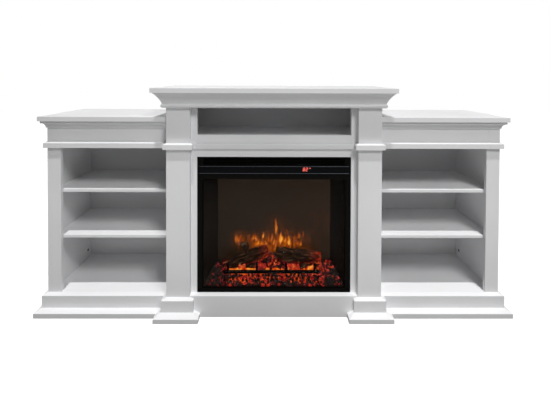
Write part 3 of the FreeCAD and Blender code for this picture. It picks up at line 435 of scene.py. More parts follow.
@dataclass(frozen=True)
class LedRed:
    """Red LED behind smoked glass: a clear red with small, slightly hotter spots."""

    name: str = "lit_red_led"
    color: str = "ff3426"
    core: str = "ff8070"
    spot_mm: float = 3.0
    strength: float = 1.9
    unlit: str = "3a0705"
    roughness: float = 0.3

    def make(self) -> bpy.types.Material:
        """Build the material.

        Returns:
            The new material.
        """
        material, tree, shader, place = new_material(self.name)
        spot = add_node(tree, "ShaderNodeTexNoise", {"Vector": place}, {"Scale": per_mm(self.spot_mm)})
        tone = add_node(tree, "ShaderNodeValToRGB", {"Fac": spot.outputs["Fac"]},
                        stops=((0.3, self.color), (0.75, self.core)))
        connect(tree, shader, {"Emission Color": tone.outputs["Color"]},
                {"Emission Strength": self.strength, "Base Color": linear(self.unlit),
                 "Roughness": self.roughness})
        return material


def strip_faces(here: int, there: int, count: int, closed: bool = True) -> Faces:
    """Join two rows of points with four-sided faces.

    Args:
        here: Number of the first row's first point.
        there: Number of the other row's first point.
        count: Points in each row.
        closed: Whether each row's last point joins its first one.

    Returns:
        Vertex numbers of each face.
    """
    return [(here + k, here + (k + 1) % count, there + (k + 1) % count, there + k)
            for k in range(count if closed else count - 1)]


def new_piece(name: str, points: list, faces: Faces, material: bpy.types.Material,
              attributes: dict[str, list[float]] | None = None, smooth: bool = True) -> bpy.types.Object:
    """Make a mesh piece at the origin, its faces turned outwards.

    Args:
        name: Piece name.
        points: Vertex places in metres.
        faces: Vertex numbers of each face.
        material: Finish of all its faces.
        attributes: Attribute name to one number for each point.
        smooth: Whether its faces are shaded smooth.

    Returns:
        The linked object.
    """
    mesh = bpy.data.meshes.new(name)
    mesh.from_pydata(points, [], faces)
    for title, numbers in (attributes or {}).items():
        mesh.attributes.new(title, "FLOAT", "POINT").data.foreach_set("value", numbers)
    shape = bmesh.new()
    shape.from_mesh(mesh)
    bmesh.ops.recalc_face_normals(shape, faces=shape.faces)
    shape.to_mesh(mesh)
    shape.free()
    mesh.polygons.foreach_set("use_smooth", [smooth] * len(mesh.polygons))
    mesh.materials.append(material)
    piece = bpy.data.objects.new(name, mesh)
    bpy.context.scene.collection.objects.link(piece)
    return piece


def adopt(piece: bpy.types.Object, slot: str, *nodes: str) -> None:
    """Let a piece ride on the stand and hide the nodes that it stands for.

    Args:
        piece: The new piece.
        slot: Slot of its finish; not used.
        nodes: Carried-over nodes that it stands for, if any.
    """
    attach(piece, STAND)
    if nodes:
        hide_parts(*nodes)
    LOG.info("%s: %d faces", piece.name, len(piece.data.polygons))


def new_tree(name: str, inputs: dict[str, str]) -> tuple[bpy.types.NodeTree, dict[str, bpy.types.NodeSocket]]:
    """Start a Geometry Nodes tree with named inputs.

    Args:
        name: Tree name.
        inputs: Input name to Blender's socket type, after the geometry itself.

    Returns:
        The tree and its input node's sockets by name.
    """
    tree = bpy.data.node_groups.new(name, "GeometryNodeTree")
    tree.interface.new_socket("Geometry", in_out="INPUT", socket_type="NodeSocketGeometry")
    for title, kind in inputs.items():
        tree.interface.new_socket(title, in_out="INPUT", socket_type=kind)
    tree.interface.new_socket("Geometry", in_out="OUTPUT", socket_type="NodeSocketGeometry")
    return tree, dict(add_node(tree, "NodeGroupInput").outputs.items())


def end_tree(tree: bpy.types.NodeTree, instances: bpy.types.NodeSocket,
             material: bpy.types.NodeSocket) -> None:
    """Realize a tree's instances, give them their finish and send them out.

    Args:
        tree: The tree.
        instances: Socket that gives the instances.
        material: Socket that gives their finish.
    """
    real = add_node(tree, "GeometryNodeRealizeInstances", {"Geometry": instances})
    done = add_node(tree, "GeometryNodeSetMaterial",
                    {"Geometry": real.outputs["Geometry"], "Material": material})
    add_node(tree, "NodeGroupOutput", {"Geometry": done.outputs["Geometry"]})


def grow(name: str, points: list, faces: Faces, tree: bpy.types.NodeTree,
         inputs: dict[str, object]) -> bpy.types.Object:
    """Run a Geometry Nodes tree on a mesh and keep the result as a plain mesh.

    Args:
        name: Piece name.
        points: Places of the mesh that the tree works on, in metres.
        faces: Vertex numbers of each of its faces.
        tree: The tree.
        inputs: Input name to its value.

    Returns:
        The finished object.
    """
    seed_bed = new_piece(name, points, faces, inputs["Finish"])
    modifier = seed_bed.modifiers.new(name, "NODES")
    modifier.node_group = tree
    for item in tree.interface.items_tree:
        if item.in_out == "INPUT" and item.name in inputs:
            modifier[item.identifier] = inputs[item.name]
    seed_bed.update_tag()
    graph = bpy.context.evaluated_depsgraph_get()
    grown = bpy.data.meshes.new_from_object(seed_bed.evaluated_get(graph))
    seed_bed.modifiers.clear()
    seed_bed.data = grown
    return seed_bed


@dataclass(frozen=True)
class Ripple:
    """Smooth unevenness of the flame screen: its size along X and Z, its layer of noise and its height."""

    across_mm: float
    up_mm: float
    layer: float
    height: float = 1.0

    def at(self, across: float, up: float) -> float:
        """Give its height at one place."""
        return self.height * noise.noise(Vector((across / self.across_mm, up / self.up_mm, self.layer)))


@dataclass(frozen=True)
class Haze:
    """Soft patch of light on the flame screen, in millimetres: middle, half width, half height, strength."""

    x: float
    z: float
    half: float
    tall: float
    bright: float

    def glow(self, across: float, up: float) -> float:
        """Give its light at one place.

        Args:
            across: Place along X in millimetres.
            up: Place along Z in millimetres.

        Returns:
            Its strength in its middle, and less further out.
        """
        sideways = (across - self.x) / self.half
        upwards = (up - self.z) / self.tall
        return self.bright * math.exp(-sideways ** 2 - upwards ** 2)


@dataclass(frozen=True)
class Flame:
    """Tongue of flame, in millimetres: its foot, height, half width, lean to the right and strength."""

    x: float
    z: float
    tall: float
    half: float
    lean: float
    bright: float
    below: float = 0.2  # share of its height that reaches below its foot
    swell: float = 2.6  # how fast it widens from there
    taper: float = 0.7
    least_half: float = 0.5
    edge: float = 1.3  # how sharply it fades sideways
    tip_fade: float = 0.4

    def glow(self, across: float, up: float) -> float:
        """Give its light at one place.

        Args:
            across: Place along X in millimetres.
            up: Place along Z in millimetres.

        Returns:
            Zero outside it, and its strength in its core.
        """
        rise = (up - self.z) / self.tall
        if not -self.below < rise < 1.0:
            return 0.0
        width = self.half * (1 - rise) ** self.taper * min(1.0, (rise + self.below) * self.swell)
        off = (across - self.x - self.lean * rise) / max(width, self.least_half)
        return self.bright * math.exp(-off * off * self.edge) * (1 - rise) ** self.tip_fade


@dataclass
class FlameScreen:
    """Diffuser sheet behind the logs, with the flames that play on it."""

    fine_mm: float = 2.0
    coarse_mm: float = 8.0
    flames_top_mm: float = 350.0
    seed: int = 11
    stray_count: int = 22
    # least and most of a stray flame's values, in the order of a flame's own
    stray_ranges: tuple[Pair, ...] = ((-110, 105), (202, 250), (12, 30), (2, 5), (-8, 8), (0.1, 0.3))
    base_glow: float = 0.05
    wisp_share: float = 0.8  # how far the wisps brighten and darken the haze
    flame_share: float = 0.78
    wisps: tuple[Ripple, ...] = (Ripple(9, 26, 5), Ripple(5, 12, 9, 0.6))
    sway: tuple[Ripple, ...] = (Ripple(17, 20, 1.3, 5.0), Ripple(6, 8, 7.1, 2.2))
    lift: Ripple = Ripple(15, 21, 4.7, 6.0)
    flames: tuple[Flame, ...] = (
        Flame(-160, 231, 40, 9, 3, 0.5), Flame(-148, 236, 26, 7, 6, 0.35), Flame(-86, 236, 42, 4.5, 8, 0.4),
        Flame(-73, 240, 34, 5, -4, 0.6), Flame(-44, 247, 29, 5.5, 2, 1.25), Flame(-9, 240, 30, 4.5, 6, 0.5),
        Flame(-30, 216, 24, 7, -6, 0.55), Flame(10, 272, 64, 7, -2, 0.95), Flame(29, 228, 50, 8, 3, 0.95),
        Flame(46, 226, 24, 6, 2, 0.4), Flame(62, 220, 38, 8.5, -2, 0.9), Flame(55, 266, 32, 4, 3, 0.2),
        Flame(102, 247, 26, 9, 3, 0.35), Flame(121, 254, 24, 4.5, 4, 0.5), Flame(113, 213, 11, 3.5, 0, 0.75),
        Flame(-75, 213, 20, 4, 6, 0.35), Flame(-64, 226, 28, 3.5, 8, 0.3), Flame(-2, 220, 24, 3.5, 3, 0.3),
        Flame(50, 209, 18, 5, 2, 0.3))
    hazes: tuple[Haze, ...] = (
        Haze(-122, 234, 46, 34, 0.16), Haze(-58, 218, 62, 36, 0.26), Haze(38, 220, 72, 44, 0.32),
        Haze(118, 222, 50, 34, 0.1), Haze(-152, 246, 26, 30, 0.14), Haze(5, 285, 70, 70, 0.07),
        Haze(230, 330, 190, 170, 0.06))

    def heat(self, across: float, up: float, flames: list[Flame]) -> float:
        """Work out how brightly one point of the sheet glows.

        Args:
            across: Place along X in millimetres.
            up: Place along Z in millimetres.
            flames: Main flames and strays.

        Returns:
            Zero for dark to one for the flames' cores.
        """
        glow = self.base_glow + sum(haze.glow(across, up) for haze in self.hazes)
        if up > self.flames_top_mm:
            return glow
        glow *= 1.0 + self.wisp_share * sum(wisp.at(across, up) for wisp in self.wisps)
        x_bent = across + sum(ripple.at(across, up) for ripple in self.sway)
        z_bent = up + self.lift.at(across, up)
        glow += self.flame_share * sum(flame.glow(x_bent, z_bent) for flame in flames)
        return min(glow, 1.0)

    def all_flames(self) -> list[Flame]:
        """Gather the main flames and small strays around them.

        Returns:
            The main flames, then the strays.
        """
        pick = random.Random(self.seed)
        strays = [Flame(*[pick.uniform(least, most) for least, most in self.stray_ranges])
                  for _ in range(self.stray_count)]
        return list(self.flames) + strays

    def build(self, finish: bpy.types.Material) -> None:
        """Make the sheet, with a finer grid where the flames are.

        Args:
            finish: Material of the sheet.
        """
        low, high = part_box("flame_screen")
        columns = round((high.x - low.x) / MM / self.fine_mm)
        split = self.flames_top_mm * MM
        fine = round((split - low.z) / MM / self.fine_mm)
        coarse = round((high.z - split) / MM / self.coarse_mm)
        levels = [low.z + (split - low.z) * row / fine for row in range(fine)]
        levels += [split + (high.z - split) * row / coarse for row in range(coarse + 1)]
        rows = len(levels) - 1
        wide = columns + 1
        flames = self.all_flames()
        points, heat = [], []
        for z in levels:
            for column in range(wide):
                x = low.x + (high.x - low.x) * column / columns
                points.append((x, low.y, z))
                heat.append(self.heat(x / MM, z / MM, flames))
        faces = []
        for row in range(rows):
            faces += strip_faces(row * wide, (row + 1) * wide, wide, closed=False)
        rim = list(range(wide)) + [row * wide + columns for row in range(1, rows + 1)]
        rim += [rows * wide + column for column in range(columns - 1, -1, -1)]
        rim += [row * wide for row in range(rows - 1, 0, -1)]
        first = len(points)
        count = len(rim)
        points += [(points[corner][0], high.y, points[corner][2]) for corner in rim]
        heat += [heat[corner] for corner in rim]
        faces += [(rim[k], rim[(k + 1) % count], first + (k + 1) % count, first + k) for k in range(count)]
        faces.append(tuple(range(first, first + count)))
        sheet = new_piece("lit_flame_screen", points, faces, finish, {"glow": heat}, smooth=False)
        adopt(sheet, "screen_plastic", "flame_screen")


@dataclass
class BarkLog:
    """One charred log: a bumpy tapered trunk with cut ends, and a broken-off side branch where it has one."""

    name: str
    nodes: tuple[str, ...]
    start_mm: Place
    end_mm: Place
    radii_mm: tuple[float, ...]  # at even places along it
    glow_ends: Pair  # how strongly the first and the other end glow
    seed: float
    branch_place: float = 0.0  # share of the log's length, or zero for no branch
    branch_radii_mm: tuple[float, ...] = (18.0, 14.0, 15.0, 16.0)
    branch_reach_mm: float = 57.0
    around: int = 72
    along_step_mm: float = 2.2
    bark_mm: float = 4.0
    swell_mm: float = 3.5
    grain_mm: float = 7.0
    grain_run_mm: float = 34.0
    grain_octaves: tuple[float, float, int] = (0.9, 2.0, 4)  # their fade, step and number
    grain_share: float = 0.9
    knob_count: float = 1.4
    knob_run_mm: float = 40.0
    knob_share: float = 0.3
    bark_sink: float = 0.2  # share of the bark's height by which it lies inside the radius
    swell_sink: float = 0.3  # the same for the swelling
    cap_rings: int = 5
    cap_hub: float = 0.4  # radius of the innermost ring, as a share of a ring's width
    cap_dent_mm: float = 1.6
    cut_ash: float = 0.25  # how pale a cut face is
    ring_ash: float = 0.2  # how much paler every other of its rings is
    branch_ash: float = 0.78
    under_glow: float = 0.55
    glow_reach: Pair = (4.0, 2.4)  # how fast the glow of each end fades along the log

    def trunk(self, start: Vector, end: Vector, radii: tuple[float, ...], glow_ends: Pair,
              cut_ash: float) -> tuple[list, Faces, list, list]:
        """Lay rings along one stem and close its ends with shallow, ringed cut faces.

        Args:
            start: First end in millimetres.
            end: Other end in millimetres.
            radii: Radii at even places along it.
            glow_ends: How strongly the first and the other end glow.
            cut_ash: How pale the cut faces are.

        Returns:
            Points in metres, faces, ridge heights and glow.
        """
        axis = (end - start).normalized()
        side = axis.cross(Vector((0, 1, 0))).normalized()
        front = side.cross(axis)
        count = max(8, round((end - start).length / self.along_step_mm))
        cap = self.cap_rings
        insets = [(k + self.cap_hub) / (cap + self.cap_hub) for k in range(cap)]
        rows = [(0.0, inset) for inset in insets]
        rows += [(k / count, 1.0) for k in range(count + 1)]
        rows += [(1.0, inset) for inset in reversed(insets)]
        points, ridges, glows = [], [], []
        for share, inset in rows:
            spot = min(share * (len(radii) - 1), len(radii) - 1.0001)
            part = int(spot)
            radius = radii[part] + (radii[part + 1] - radii[part]) * (spot - part)
            run = share * (end - start).length
            inwards = 1 if share == 0 else -1
            dent = self.cap_dent_mm * (1 - inset) * inwards
            for k in range(self.around):
                angle = math.tau * k / self.around
                x, y = math.cos(angle), math.sin(angle)
                grain = noise.fractal(Vector((x * radius / self.grain_mm, y * radius / self.grain_mm,
                                              run / self.grain_run_mm + self.seed)), *self.grain_octaves)
                knob = noise.noise(Vector((x * self.knob_count, y * self.knob_count,
                                           run / self.knob_run_mm - self.seed)))
                ridge = max(-1.0, min(1.0, self.grain_share * grain + self.knob_share * knob))
                bark = self.bark_mm * (ridge - self.bark_sink)
                reach = (radius + bark + self.swell_mm * (knob - self.swell_sink)) * inset
                outwards = side * x + front * y
                points.append((start + axis * (run + dent) + outwards * reach) * MM)
                paleness = cut_ash + self.ring_ash * (round(inset * cap) % 2)
                ridges.append(0.5 + 0.5 * ridge if inset == 1 else paleness)
                under = max(0.0, -outwards.z)
                near_end = max(glow_ends[0] * (1 - share * self.glow_reach[0]),
                               glow_ends[1] * (1 - (1 - share) * self.glow_reach[1]), 0.0)
                glows.append(min(1.0, self.under_glow * under ** 2 + near_end * (0.6 + 0.4 * ridge)))
        faces = []
        for row in range(len(rows) - 1):
            faces += strip_faces(row * self.around, (row + 1) * self.around, self.around)
        last = (len(rows) - 1) * self.around
        faces.append(tuple(range(self.around)))
        faces.append(tuple(range(last, last + self.around)))
        return points, faces, ridges, glows

    def build(self, finish: bpy.types.Material) -> None:
        """Make the log and, where it has one, its branch.

        Args:
            finish: Material of the bark.
        """
        start, end = Vector(self.start_mm), Vector(self.end_mm)
        points, faces, ridges, glows = self.trunk(start, end, self.radii_mm, self.glow_ends, self.cut_ash)
        if self.branch_place:
            foot = start + (end - start) * self.branch_place
            upright = (end - start).normalized().cross(Vector((0, 1, 0))).normalized()
            upright *= 1 if upright.z > 0 else -1
            more, rims, crests, lights = self.trunk(foot, foot + upright * self.branch_reach_mm,
                                                    self.branch_radii_mm, (0.0, 0.0), self.branch_ash)
            first = len(points)
            points, ridges, glows = points + more, ridges + crests, glows + lights
            faces += [tuple(first + corner for corner in rim) for rim in rims]
        piece = new_piece(self.name, points, faces, finish, {"ridge": ridges, "glow": glows})
        adopt(piece, "log_resin", *self.nodes)


@dataclass
class LogPile:
    """The two logs, and three charred sticks by the grate."""

    logs: tuple[BarkLog, ...] = (
        BarkLog("bark_log_left", ("log_left",), (-204, -66, 157.5), (-24, -50, 209.5),
                (19, 26, 26.5, 28, 26, 23), (0.7, 0.7), 3.0, branch_place=0.54),
        BarkLog("bark_log_right", ("log_right",), (8, -50, 195.5), (190, -58, 181.5),
                (24, 28, 26, 27.5, 25, 20), (0.2, 1.0), 8.0))
    # each stick: its two ends and its radii
    sticks_mm: tuple[tuple[Place, Place, Place], ...] = (
        ((-19, -70, 153), (22, -66, 178), (4, 5, 4.5)),
        ((104, -72, 150), (140, -68, 164), (9, 11, 8)),
        ((-114, -70, 154), (-76, -68, 156), (8, 10, 9)))
    stick_glow: Pair = (0.3, 0.3)
    stick_seed: float = 20.0
    stick_around: int = 28
    stick_bark_mm: float = 2.0
    stick_swell_mm: float = 1.5

    def build(self, finish: bpy.types.Material) -> None:
        """Make the logs, then the sticks.

        Args:
            finish: Material of the bark.
        """
        for log in self.logs:
            log.build(finish)
        for number, (start, end, radii) in enumerate(self.sticks_mm):
            stick = BarkLog(f"charred_stick_{number + 1}", (), start, end, radii, self.stick_glow,
                            self.stick_seed + number, around=self.stick_around,
                            bark_mm=self.stick_bark_mm, swell_mm=self.stick_swell_mm)
            stick.build(finish)


@dataclass(frozen=True)
class Coals:
    """How large, dense and hot the coals of one bank are."""

    name: str
    spacing_mm: float
    coal_mm: float
    heat: Pair  # least and most glow of a coal
    seed: int


@dataclass(frozen=True)
class CoalBank(Coals):
    """Bank of coals on a slope that runs from its front edge up to its back edge."""

    x_mm: Pair
    foot_mm: Pair  # Y and Z of its front edge
    top_mm: Pair  # Y and Z of its back edge


@dataclass
class EmberBed:
    """Loose coals heaped over the cast bed: hot before and behind the grate, cold rubble at both ends."""

    wall_front_mm: Pair = (-114.0, 283.0)  # Y, and the splayed wall's distance from the middle
    wall_back_mm: Pair = (-18.0, 233.0)
    heap_foot_mm: tuple[float, ...] = (-79.0, 139.0, -64.0, -29.0, 140.0)  # its ends in X and Y, and its Z
    heap_top_mm: tuple[float, ...] = (-45.0, 105.0, -54.5, -38.5, 189.5)
    cell_mm: float = 8.0
    shapes: int = 5
    crowd: float = 40000.0  # most coals on a square metre, before their spacing thins them
    rarity: float = 2.0  # how rare the hot coals are
    lump_mm: float = 8.0
    shape_step: float = 3.7  # from one shape's noise to the next
    bulge: float = 2.3
    girth_least: Place = (0.5, 0.5, 0.4)
    girth_most: Place = (1.2, 1.0, 0.8)
    banks: tuple[CoalBank, ...] = (
        CoalBank("front_coals", 9.0, 9.2, (0.0, 0.85), 7, (-186, 172), (-109, 95.5), (-74, 120.5)),
        CoalBank("back_coals", 15.0, 12.0, (0.2, 1.2), 5, (-190, 190), (-44, 144.5), (-24, 158.5)),
        CoalBank("chunks_left", 8.0, 8.0, (0.8, 1.3), 4, (-142, -120), (-84, 150), (-80, 164)),
        CoalBank("chunks_middle", 9.0, 8.5, (0.5, 1.3), 6, (-62, -36), (-84, 140), (-78, 164)),
        CoalBank("chunks_right", 8.0, 8.5, (0.8, 1.3), 8, (62, 98), (-84, 140), (-78, 166)),
        CoalBank("chunks_gap", 9.0, 8.0, (0.4, 1.2), 10, (-26, 20), (-70, 160), (-62, 192)),
        CoalBank("leg_heap_left", 8.0, 5.5, (0.0, 0.8), 21, (-212, -184), (-108, 98), (-104, 140)),
        CoalBank("leg_heap_right", 8.0, 5.5, (0.1, 1.0), 22, (166, 194), (-108, 98), (-104, 140)),
        CoalBank("rubble_left", 8.0, 6.0, (0.0, 0.7), 12, (-290, -180), (-109, 95.5), (-26, 154.5)),
        CoalBank("rubble_right", 8.0, 6.0, (0.05, 1.0), 15, (172, 290), (-109, 95.5), (-26, 154.5)))
    heap_coals: Coals = Coals("heap_coals", 13.0, 10.5, (0.1, 1.2), 9)

    def wall_x(self, y: float) -> float:
        """Give the splayed walls' distance from the middle at one depth."""
        (front_y, front_x), (back_y, back_x) = self.wall_front_mm, self.wall_back_mm
        return front_x + (back_x - front_x) * (y - front_y) / (back_y - front_y)

    def slope(self, bank: CoalBank) -> tuple[list, Faces]:
        """Lay the grid that one bank of coals lies on, inside the splayed walls.

        Args:
            bank: Which bank.

        Returns:
            Points in metres and faces.
        """
        (left, right), (foot_y, foot_z), (top_y, top_z) = bank.x_mm, bank.foot_mm, bank.top_mm
        wide = max(1, round((right - left) / self.cell_mm))
        deep = max(1, round((top_y - foot_y) / self.cell_mm))
        points, faces = [], []
        for row in range(deep + 1):
            y = foot_y + (top_y - foot_y) * row / deep
            z = foot_z + (top_z - foot_z) * row / deep
            reach = self.wall_x(y) - bank.coal_mm
            for column in range(wide + 1):
                x = left + (right - left) * column / wide
                points.append((max(-reach, min(reach, x)) * MM, y * MM, z * MM))
        for row in range(deep):
            faces += strip_faces(row * (wide + 1), (row + 1) * (wide + 1), wide + 1, closed=False)
        return points, faces

    def heap(self) -> tuple[list, Faces]:
        """Lay the heap's four sides and top.

        Returns:
            Points in metres and faces.
        """
        points = [(x * MM, y * MM, z * MM) for x0, x1, y0, y1, z in (self.heap_foot_mm, self.heap_top_mm)
                  for x, y in ((x0, y0), (x1, y0), (x1, y1), (x0, y1))]
        return points, strip_faces(0, 4, 4) + [(4, 5, 6, 7)]

    def tree(self) -> bpy.types.NodeTree:
        """Build the tree that scatters coals of a few shapes, each with its own glow.

        Returns:
            The tree.
        """
        tree, ask = new_tree("scatter_coals", {
            "Spacing": "NodeSocketFloat", "Coal size": "NodeSocketFloat", "Least glow": "NodeSocketFloat",
            "Most glow": "NodeSocketFloat", "Seed": "NodeSocketInt", "Finish": "NodeSocketMaterial"})
        spots = add_node(tree, "GeometryNodeDistributePointsOnFaces",
                         {"Mesh": ask["Geometry"], "Distance Min": ask["Spacing"], "Seed": ask["Seed"]},
                         {"Density Max": self.crowd}, distribute_method="POISSON")
        chance = add_node(tree, "FunctionNodeRandomValue", {"Seed": ask["Seed"]}, data_type="FLOAT")
        rare = add_node(tree, "ShaderNodeMath", {0: chance.outputs[1]}, {1: self.rarity}, operation="POWER")
        glow = add_node(tree, "ShaderNodeMapRange",
                        {"Value": rare.outputs["Value"], "To Min": ask["Least glow"],
                         "To Max": ask["Most glow"]})
        marked = add_node(tree, "GeometryNodeStoreNamedAttribute",
                          {"Geometry": spots.outputs["Points"], "Value": glow.outputs["Result"]},
                          {"Name": "glow"}, data_type="FLOAT", domain="POINT")
        place = add_node(tree, "GeometryNodeInputPosition").outputs["Position"]
        ball = add_node(tree, "GeometryNodeMeshIcoSphere", {"Radius": ask["Coal size"]}, {"Subdivisions": 2})
        lumps = add_node(tree, "GeometryNodeGeometryToInstance")
        for shape in range(self.shapes):
            bumps = add_node(tree, "ShaderNodeTexNoise", {"Vector": place},
                             {"Scale": per_mm(self.lump_mm), "Detail": 1.0, "W": self.shape_step * shape},
                             noise_dimensions="4D")
            centred = add_node(tree, "ShaderNodeVectorMath", {0: bumps.outputs["Color"]},
                               {1: (0.5, 0.5, 0.5)}, operation="SUBTRACT")
            sized = add_node(tree, "ShaderNodeVectorMath",
                             {0: centred.outputs["Vector"], "Scale": ask["Coal size"]}, operation="SCALE")
            offset = add_node(tree, "ShaderNodeVectorMath", {0: sized.outputs["Vector"]},
                              {"Scale": self.bulge}, operation="SCALE")
            chunk = add_node(tree, "GeometryNodeSetPosition",
                             {"Geometry": ball.outputs["Mesh"], "Offset": offset.outputs["Vector"]})
            connect(tree, lumps, {"Geometry": chunk.outputs["Geometry"]})
        turn = add_node(tree, "FunctionNodeRandomValue", {"Seed": ask["Seed"]},
                        {0: (0.0, 0.0, 0.0), 1: (math.tau, math.tau, math.tau)}, data_type="FLOAT_VECTOR")
        girth = add_node(tree, "FunctionNodeRandomValue", {"Seed": ask["Seed"]},
                         {0: self.girth_least, 1: self.girth_most}, data_type="FLOAT_VECTOR")
        coals = add_node(tree, "GeometryNodeInstanceOnPoints",
                         {"Points": marked.outputs["Geometry"], "Instance": lumps.outputs["Instances"],
                          "Rotation": turn.outputs[0], "Scale": girth.outputs[0]}, {"Pick Instance": True})
        end_tree(tree, coals.outputs["Instances"], ask["Finish"])
        return tree

    def build(self, finish: bpy.types.Material) -> None:
        """Scatter the coals of every bank, and those on the heap.

        Args:
            finish: Material of the coals.
        """
        tree = self.tree()
        grounds = [(bank, self.slope(bank)) for bank in self.banks] + [(self.heap_coals, self.heap())]
        for coals, (points, faces) in grounds:
            sizes = {"Spacing": coals.spacing_mm * MM, "Coal size": coals.coal_mm * MM,
                     "Least glow": coals.heat[0], "Most glow": coals.heat[1], "Seed": coals.seed,
                     "Finish": finish}
            adopt(grow(coals.name, points, faces, tree, sizes), "ember_resin")


class Segment(Enum):
    """Bars of one digit: where each starts and ends on a grid one wide and two high."""

    TOP = ((0, 2), (1, 2))
    UPPER_LEFT = ((0, 1), (0, 2))
    UPPER_RIGHT = ((1, 1), (1, 2))
    MIDDLE = ((0, 1), (1, 1))
    LOWER_LEFT = ((0, 0), (0, 1))
    LOWER_RIGHT = ((1, 0), (1, 1))
    BOTTOM = ((0, 0), (1, 0))


@dataclass
class TemperatureDisplay:
    """Two slanted red digits and a degree dot on the black glass strip, between its two bright edges, whose
    grey trim paints their highlight.
    """

    digits: str = "82"
    middle_x_mm: float = 122.0
    foot_z_mm: float = 555.0
    digit_w_mm: float = 5.8
    digit_h_mm: float = 11.8
    pitch_mm: float = 10.6
    bar_mm: float = 1.3
    halo_mm: float = 6.0
    slant: float = 0.16
    dot_x_mm: float = 16.5
    dot_mm: float = 1.4
    dot_sides: int = 16
    proud_mm: float = 0.15
    halo_proud_mm: float = 0.06
    trim_mm: float = 1.6
    trim_bulge: float = 0.25  # share of the trim's width
    trim_points: int = 7
    led: LedRed = LedRed()
    halo: LedRed = LedRed("red_led_seen_through_smoked_glass", "3a0506", "4c0808", 6.0, 1.0)
    lit: dict[str, tuple[Segment, ...]] = field(default_factory=lambda: {
        "8": tuple(Segment),
        "2": (Segment.TOP, Segment.UPPER_RIGHT, Segment.MIDDLE, Segment.LOWER_LEFT, Segment.BOTTOM)})

    def bar(self, left: float, segment: Segment, thick: float) -> list[Pair]:
        """Outline one bar of a digit as a slim hexagon on the strip.

        Args:
            left: Digit's left edge along X in millimetres.
            segment: Which bar.
            thick: Width of the bar in millimetres.

        Returns:
            Six places (X, Z) in millimetres.
        """
        (u0, v0), (u1, v1) = segment.value
        half_h = self.digit_h_mm / 2
        start = Vector((u0 * self.digit_w_mm, v0 * half_h))
        stop = Vector((u1 * self.digit_w_mm, v1 * half_h))
        run = (stop - start).normalized()
        across = Vector((-run.y, run.x)) * thick / 2
        gap = run * (self.bar_mm * 0.75 - thick / 2)
        shoulder = run * self.bar_mm / 2
        rim = [start + gap, start + shoulder + across, stop - shoulder + across, stop - gap,
               stop - shoulder - across, start + shoulder - across]
        return [(left + spot.x + self.slant * spot.y, self.foot_z_mm + spot.y) for spot in rim]

    def signs(self, name: str, thick: float, proud: float, finish: bpy.types.Material) -> None:
        """Make the digits and the degree dot, or the halo behind them.

        Args:
            name: Piece name.
            thick: Width of each bar in millimetres.
            proud: How far it stands off the strip in millimetres.
            finish: Its finish.
        """
        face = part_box("display_strip")[0].y
        rims = []
        for place, digit in enumerate(self.digits):
            left = self.middle_x_mm - self.pitch_mm + place * self.pitch_mm
            rims += [self.bar(left, segment, thick) for segment in self.lit[digit]]
        dot_x = self.middle_x_mm + self.dot_x_mm
        dot_z = self.foot_z_mm + self.digit_h_mm - self.dot_mm
        dot = self.dot_mm + (thick - self.bar_mm) / 2
        angles = [math.tau * k / self.dot_sides for k in range(self.dot_sides)]
        rims.append([(dot_x + dot * math.cos(angle), dot_z + dot * math.sin(angle)) for angle in angles])
        points, faces = [], []
        for rim in rims:
            first = len(points)
            count = len(rim)
            points += [(x * MM, face - proud * MM, z * MM) for x, z in rim]
            points += [(x * MM, face, z * MM) for x, z in rim]
            faces.append(tuple(range(first, first + count)))
            faces.append(tuple(reversed(range(first + count, first + 2 * count))))
            faces += strip_faces(first, first + count, count)
        adopt(new_piece(name, points, faces, finish, smooth=False), "black_glass")

    def edges(self, finish: bpy.types.Material) -> None:
        """Make the slim rounded trim along the strip's lower and upper edge, whose lighter grey paints the
        highlight along those edges.

        Args:
            finish: Material of the trim.
        """
        low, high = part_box("display_strip")
        thick = self.trim_mm * MM
        count = self.trim_points
        angles = [math.pi * k / (count - 1) for k in range(count)]
        points, faces = [], []
        for z in (low.z + thick / 2, high.z - thick / 2):
            first = len(points)
            for x in (low.x + thick, high.x - thick):
                points += [(x, low.y - thick * self.trim_bulge * math.sin(angle),
                            z - thick / 2 * math.cos(angle)) for angle in angles]
            faces += strip_faces(first, first + count, count)
            faces += [tuple(range(first, first + count)), tuple(range(first + count, first + 2 * count))]
        adopt(new_piece("display_edge_trim_painted_highlight", points, faces, finish, smooth=False), "black_glass")

    def build(self, trim: bpy.types.Material) -> None:
        """Make the digits' halo, the digits and the strip's edges.

        Args:
            trim: Material of the strip's edges.
        """
        self.signs("digit_halo", self.halo_mm, self.halo_proud_mm, self.halo.make())
        self.signs("temperature_digits", self.bar_mm, self.proud_mm, self.led.make())
        self.edges(trim)


